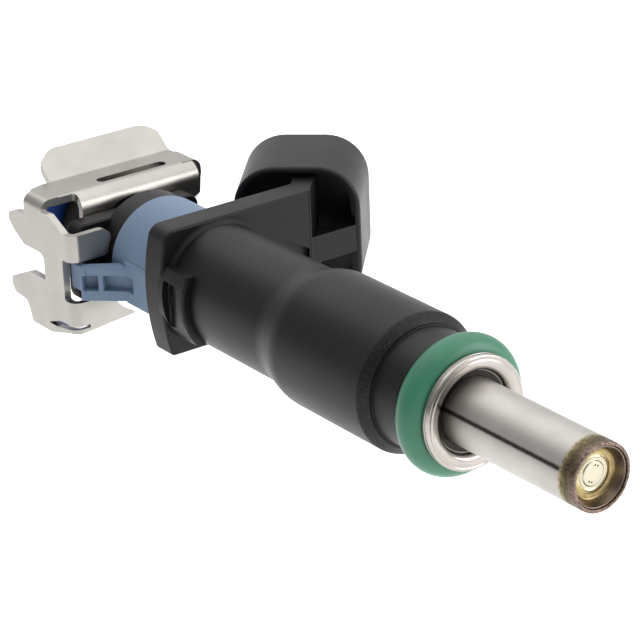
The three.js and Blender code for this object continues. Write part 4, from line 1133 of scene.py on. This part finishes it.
    left_fold = new_piece("clip_left_fold", crease(CLIP_LEFT_Y, 1), None)
    right_fold = new_piece("clip_right_fold", crease(CLIP_RIGHT_Y, -1), None)
    parts = [
        (left_wall, "UNION"), (right_wall, "UNION"), (left_fold, "UNION"), (right_fold, "UNION"),
        (bottom_tab, "UNION"), (lower_bore, "DIFFERENCE"),
    ]
    for part, operation in parts:
        join = top.modifiers.new(part.name, "BOOLEAN")
        join.operation = operation
        join.solver = "EXACT"
        join.object = part
    bpy.context.view_layer.update()
    settle(top)
    for part, _ in parts:
        bpy.data.objects.remove(part)
    top.name = "folded_clip"
    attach(top, "clip")
    soften_edges(top, 0.07)
    finish_piece(top, clip_steel, ["retaining_clip"], angle=40)
    weigh_normals(top)
    return top


retaining_clip()

# ---- floor, light and camera --------------------------------------------------------------------


def stage_floor():
    """A pale light table: matt white acrylic that glows a little."""
    material = surface(
        "light_table", Roughness=0.9,
        **{"Base Color": linear("#ffffff"), "Emission Color": grey(1), "Emission Strength": 0.35},
    )[0]
    bm = bmesh.new()
    bmesh.ops.create_grid(bm, x_segments=2, y_segments=2, size=4.0)
    bmesh.ops.translate(bm, vec=(0, 0, -0.14), verts=bm.verts)
    mesh = bpy.data.meshes.new("floor")
    bm.to_mesh(mesh)
    bm.free()
    floor = bpy.data.objects.new("floor", mesh)
    mesh.materials.append(material)
    bpy.context.scene.collection.objects.link(floor)


def soft_light(name, place, aim, size, power):
    lamp = bpy.data.lights.new(name, "AREA")
    lamp.size = size
    lamp.energy = power
    thing = bpy.data.objects.new(name, lamp)
    thing.location = place
    thing.rotation_euler = (Vector(aim) - Vector(place)).to_track_quat("-Z", "Y").to_euler()
    bpy.context.scene.collection.objects.link(thing)


def studio():
    """A ceiling light, a weaker one at the right, and surroundings brighter behind the object."""
    soft_light("ceiling", (-0.05, 0.1, 0.6), (0.0, 0.05, 0), 1.2, 4.4)
    soft_light("right_side", (0.5, 0.5, 0.22), (0.04, 0, 0), 0.45, 2.6)
    world = bpy.data.worlds.new("studio")
    world.use_nodes = True
    tree = world.node_tree
    towards = add(tree, "ShaderNodeTexCoord").outputs["Generated"]
    behind = add(
        tree, "ShaderNodeVectorMath", {0: towards, 1: (-0.35, 0.85, 0.25)}, operation="DOT_PRODUCT",
    ).outputs["Value"]
    strength = add(
        tree, "ShaderNodeMapRange",
        {"Value": behind, "From Min": -0.6, "From Max": 0.6, "To Min": 0.3, "To Max": 0.95},
    ).outputs[0]
    tree.links.new(strength, tree.nodes["Background"].inputs["Strength"])
    tree.nodes["Background"].inputs["Color"].default_value = linear("#ffffff")
    bpy.context.scene.world = world
    bpy.context.scene.view_settings.view_transform = "Standard"


def camera():
    """A long lens, looking down and along the axis from the tip, with a slight roll."""
    azimuth, elevation, roll = radians(54.84), radians(23.22), radians(-2.33)
    ahead = Vector((-sin(azimuth) * cos(elevation), cos(azimuth) * cos(elevation), -sin(elevation)))
    lens = bpy.data.cameras.new("view")
    lens.lens = 166.53
    lens.sensor_width = 36
    lens.clip_start = 0.01
    thing = bpy.data.objects.new("view", lens)
    level = ahead.to_track_quat("-Z", "Y").to_matrix()
    thing.matrix_world = Matrix.Translation((0.27272, -0.16124, 0.12165)) @ (
        level @ Matrix.Rotation(roll, 3, "Z")
    ).to_4x4()
    bpy.context.scene.collection.objects.link(thing)
    bpy.context.scene.camera = thing


stage_floor()
studio()
camera()

bpy.context.view_layer.update()
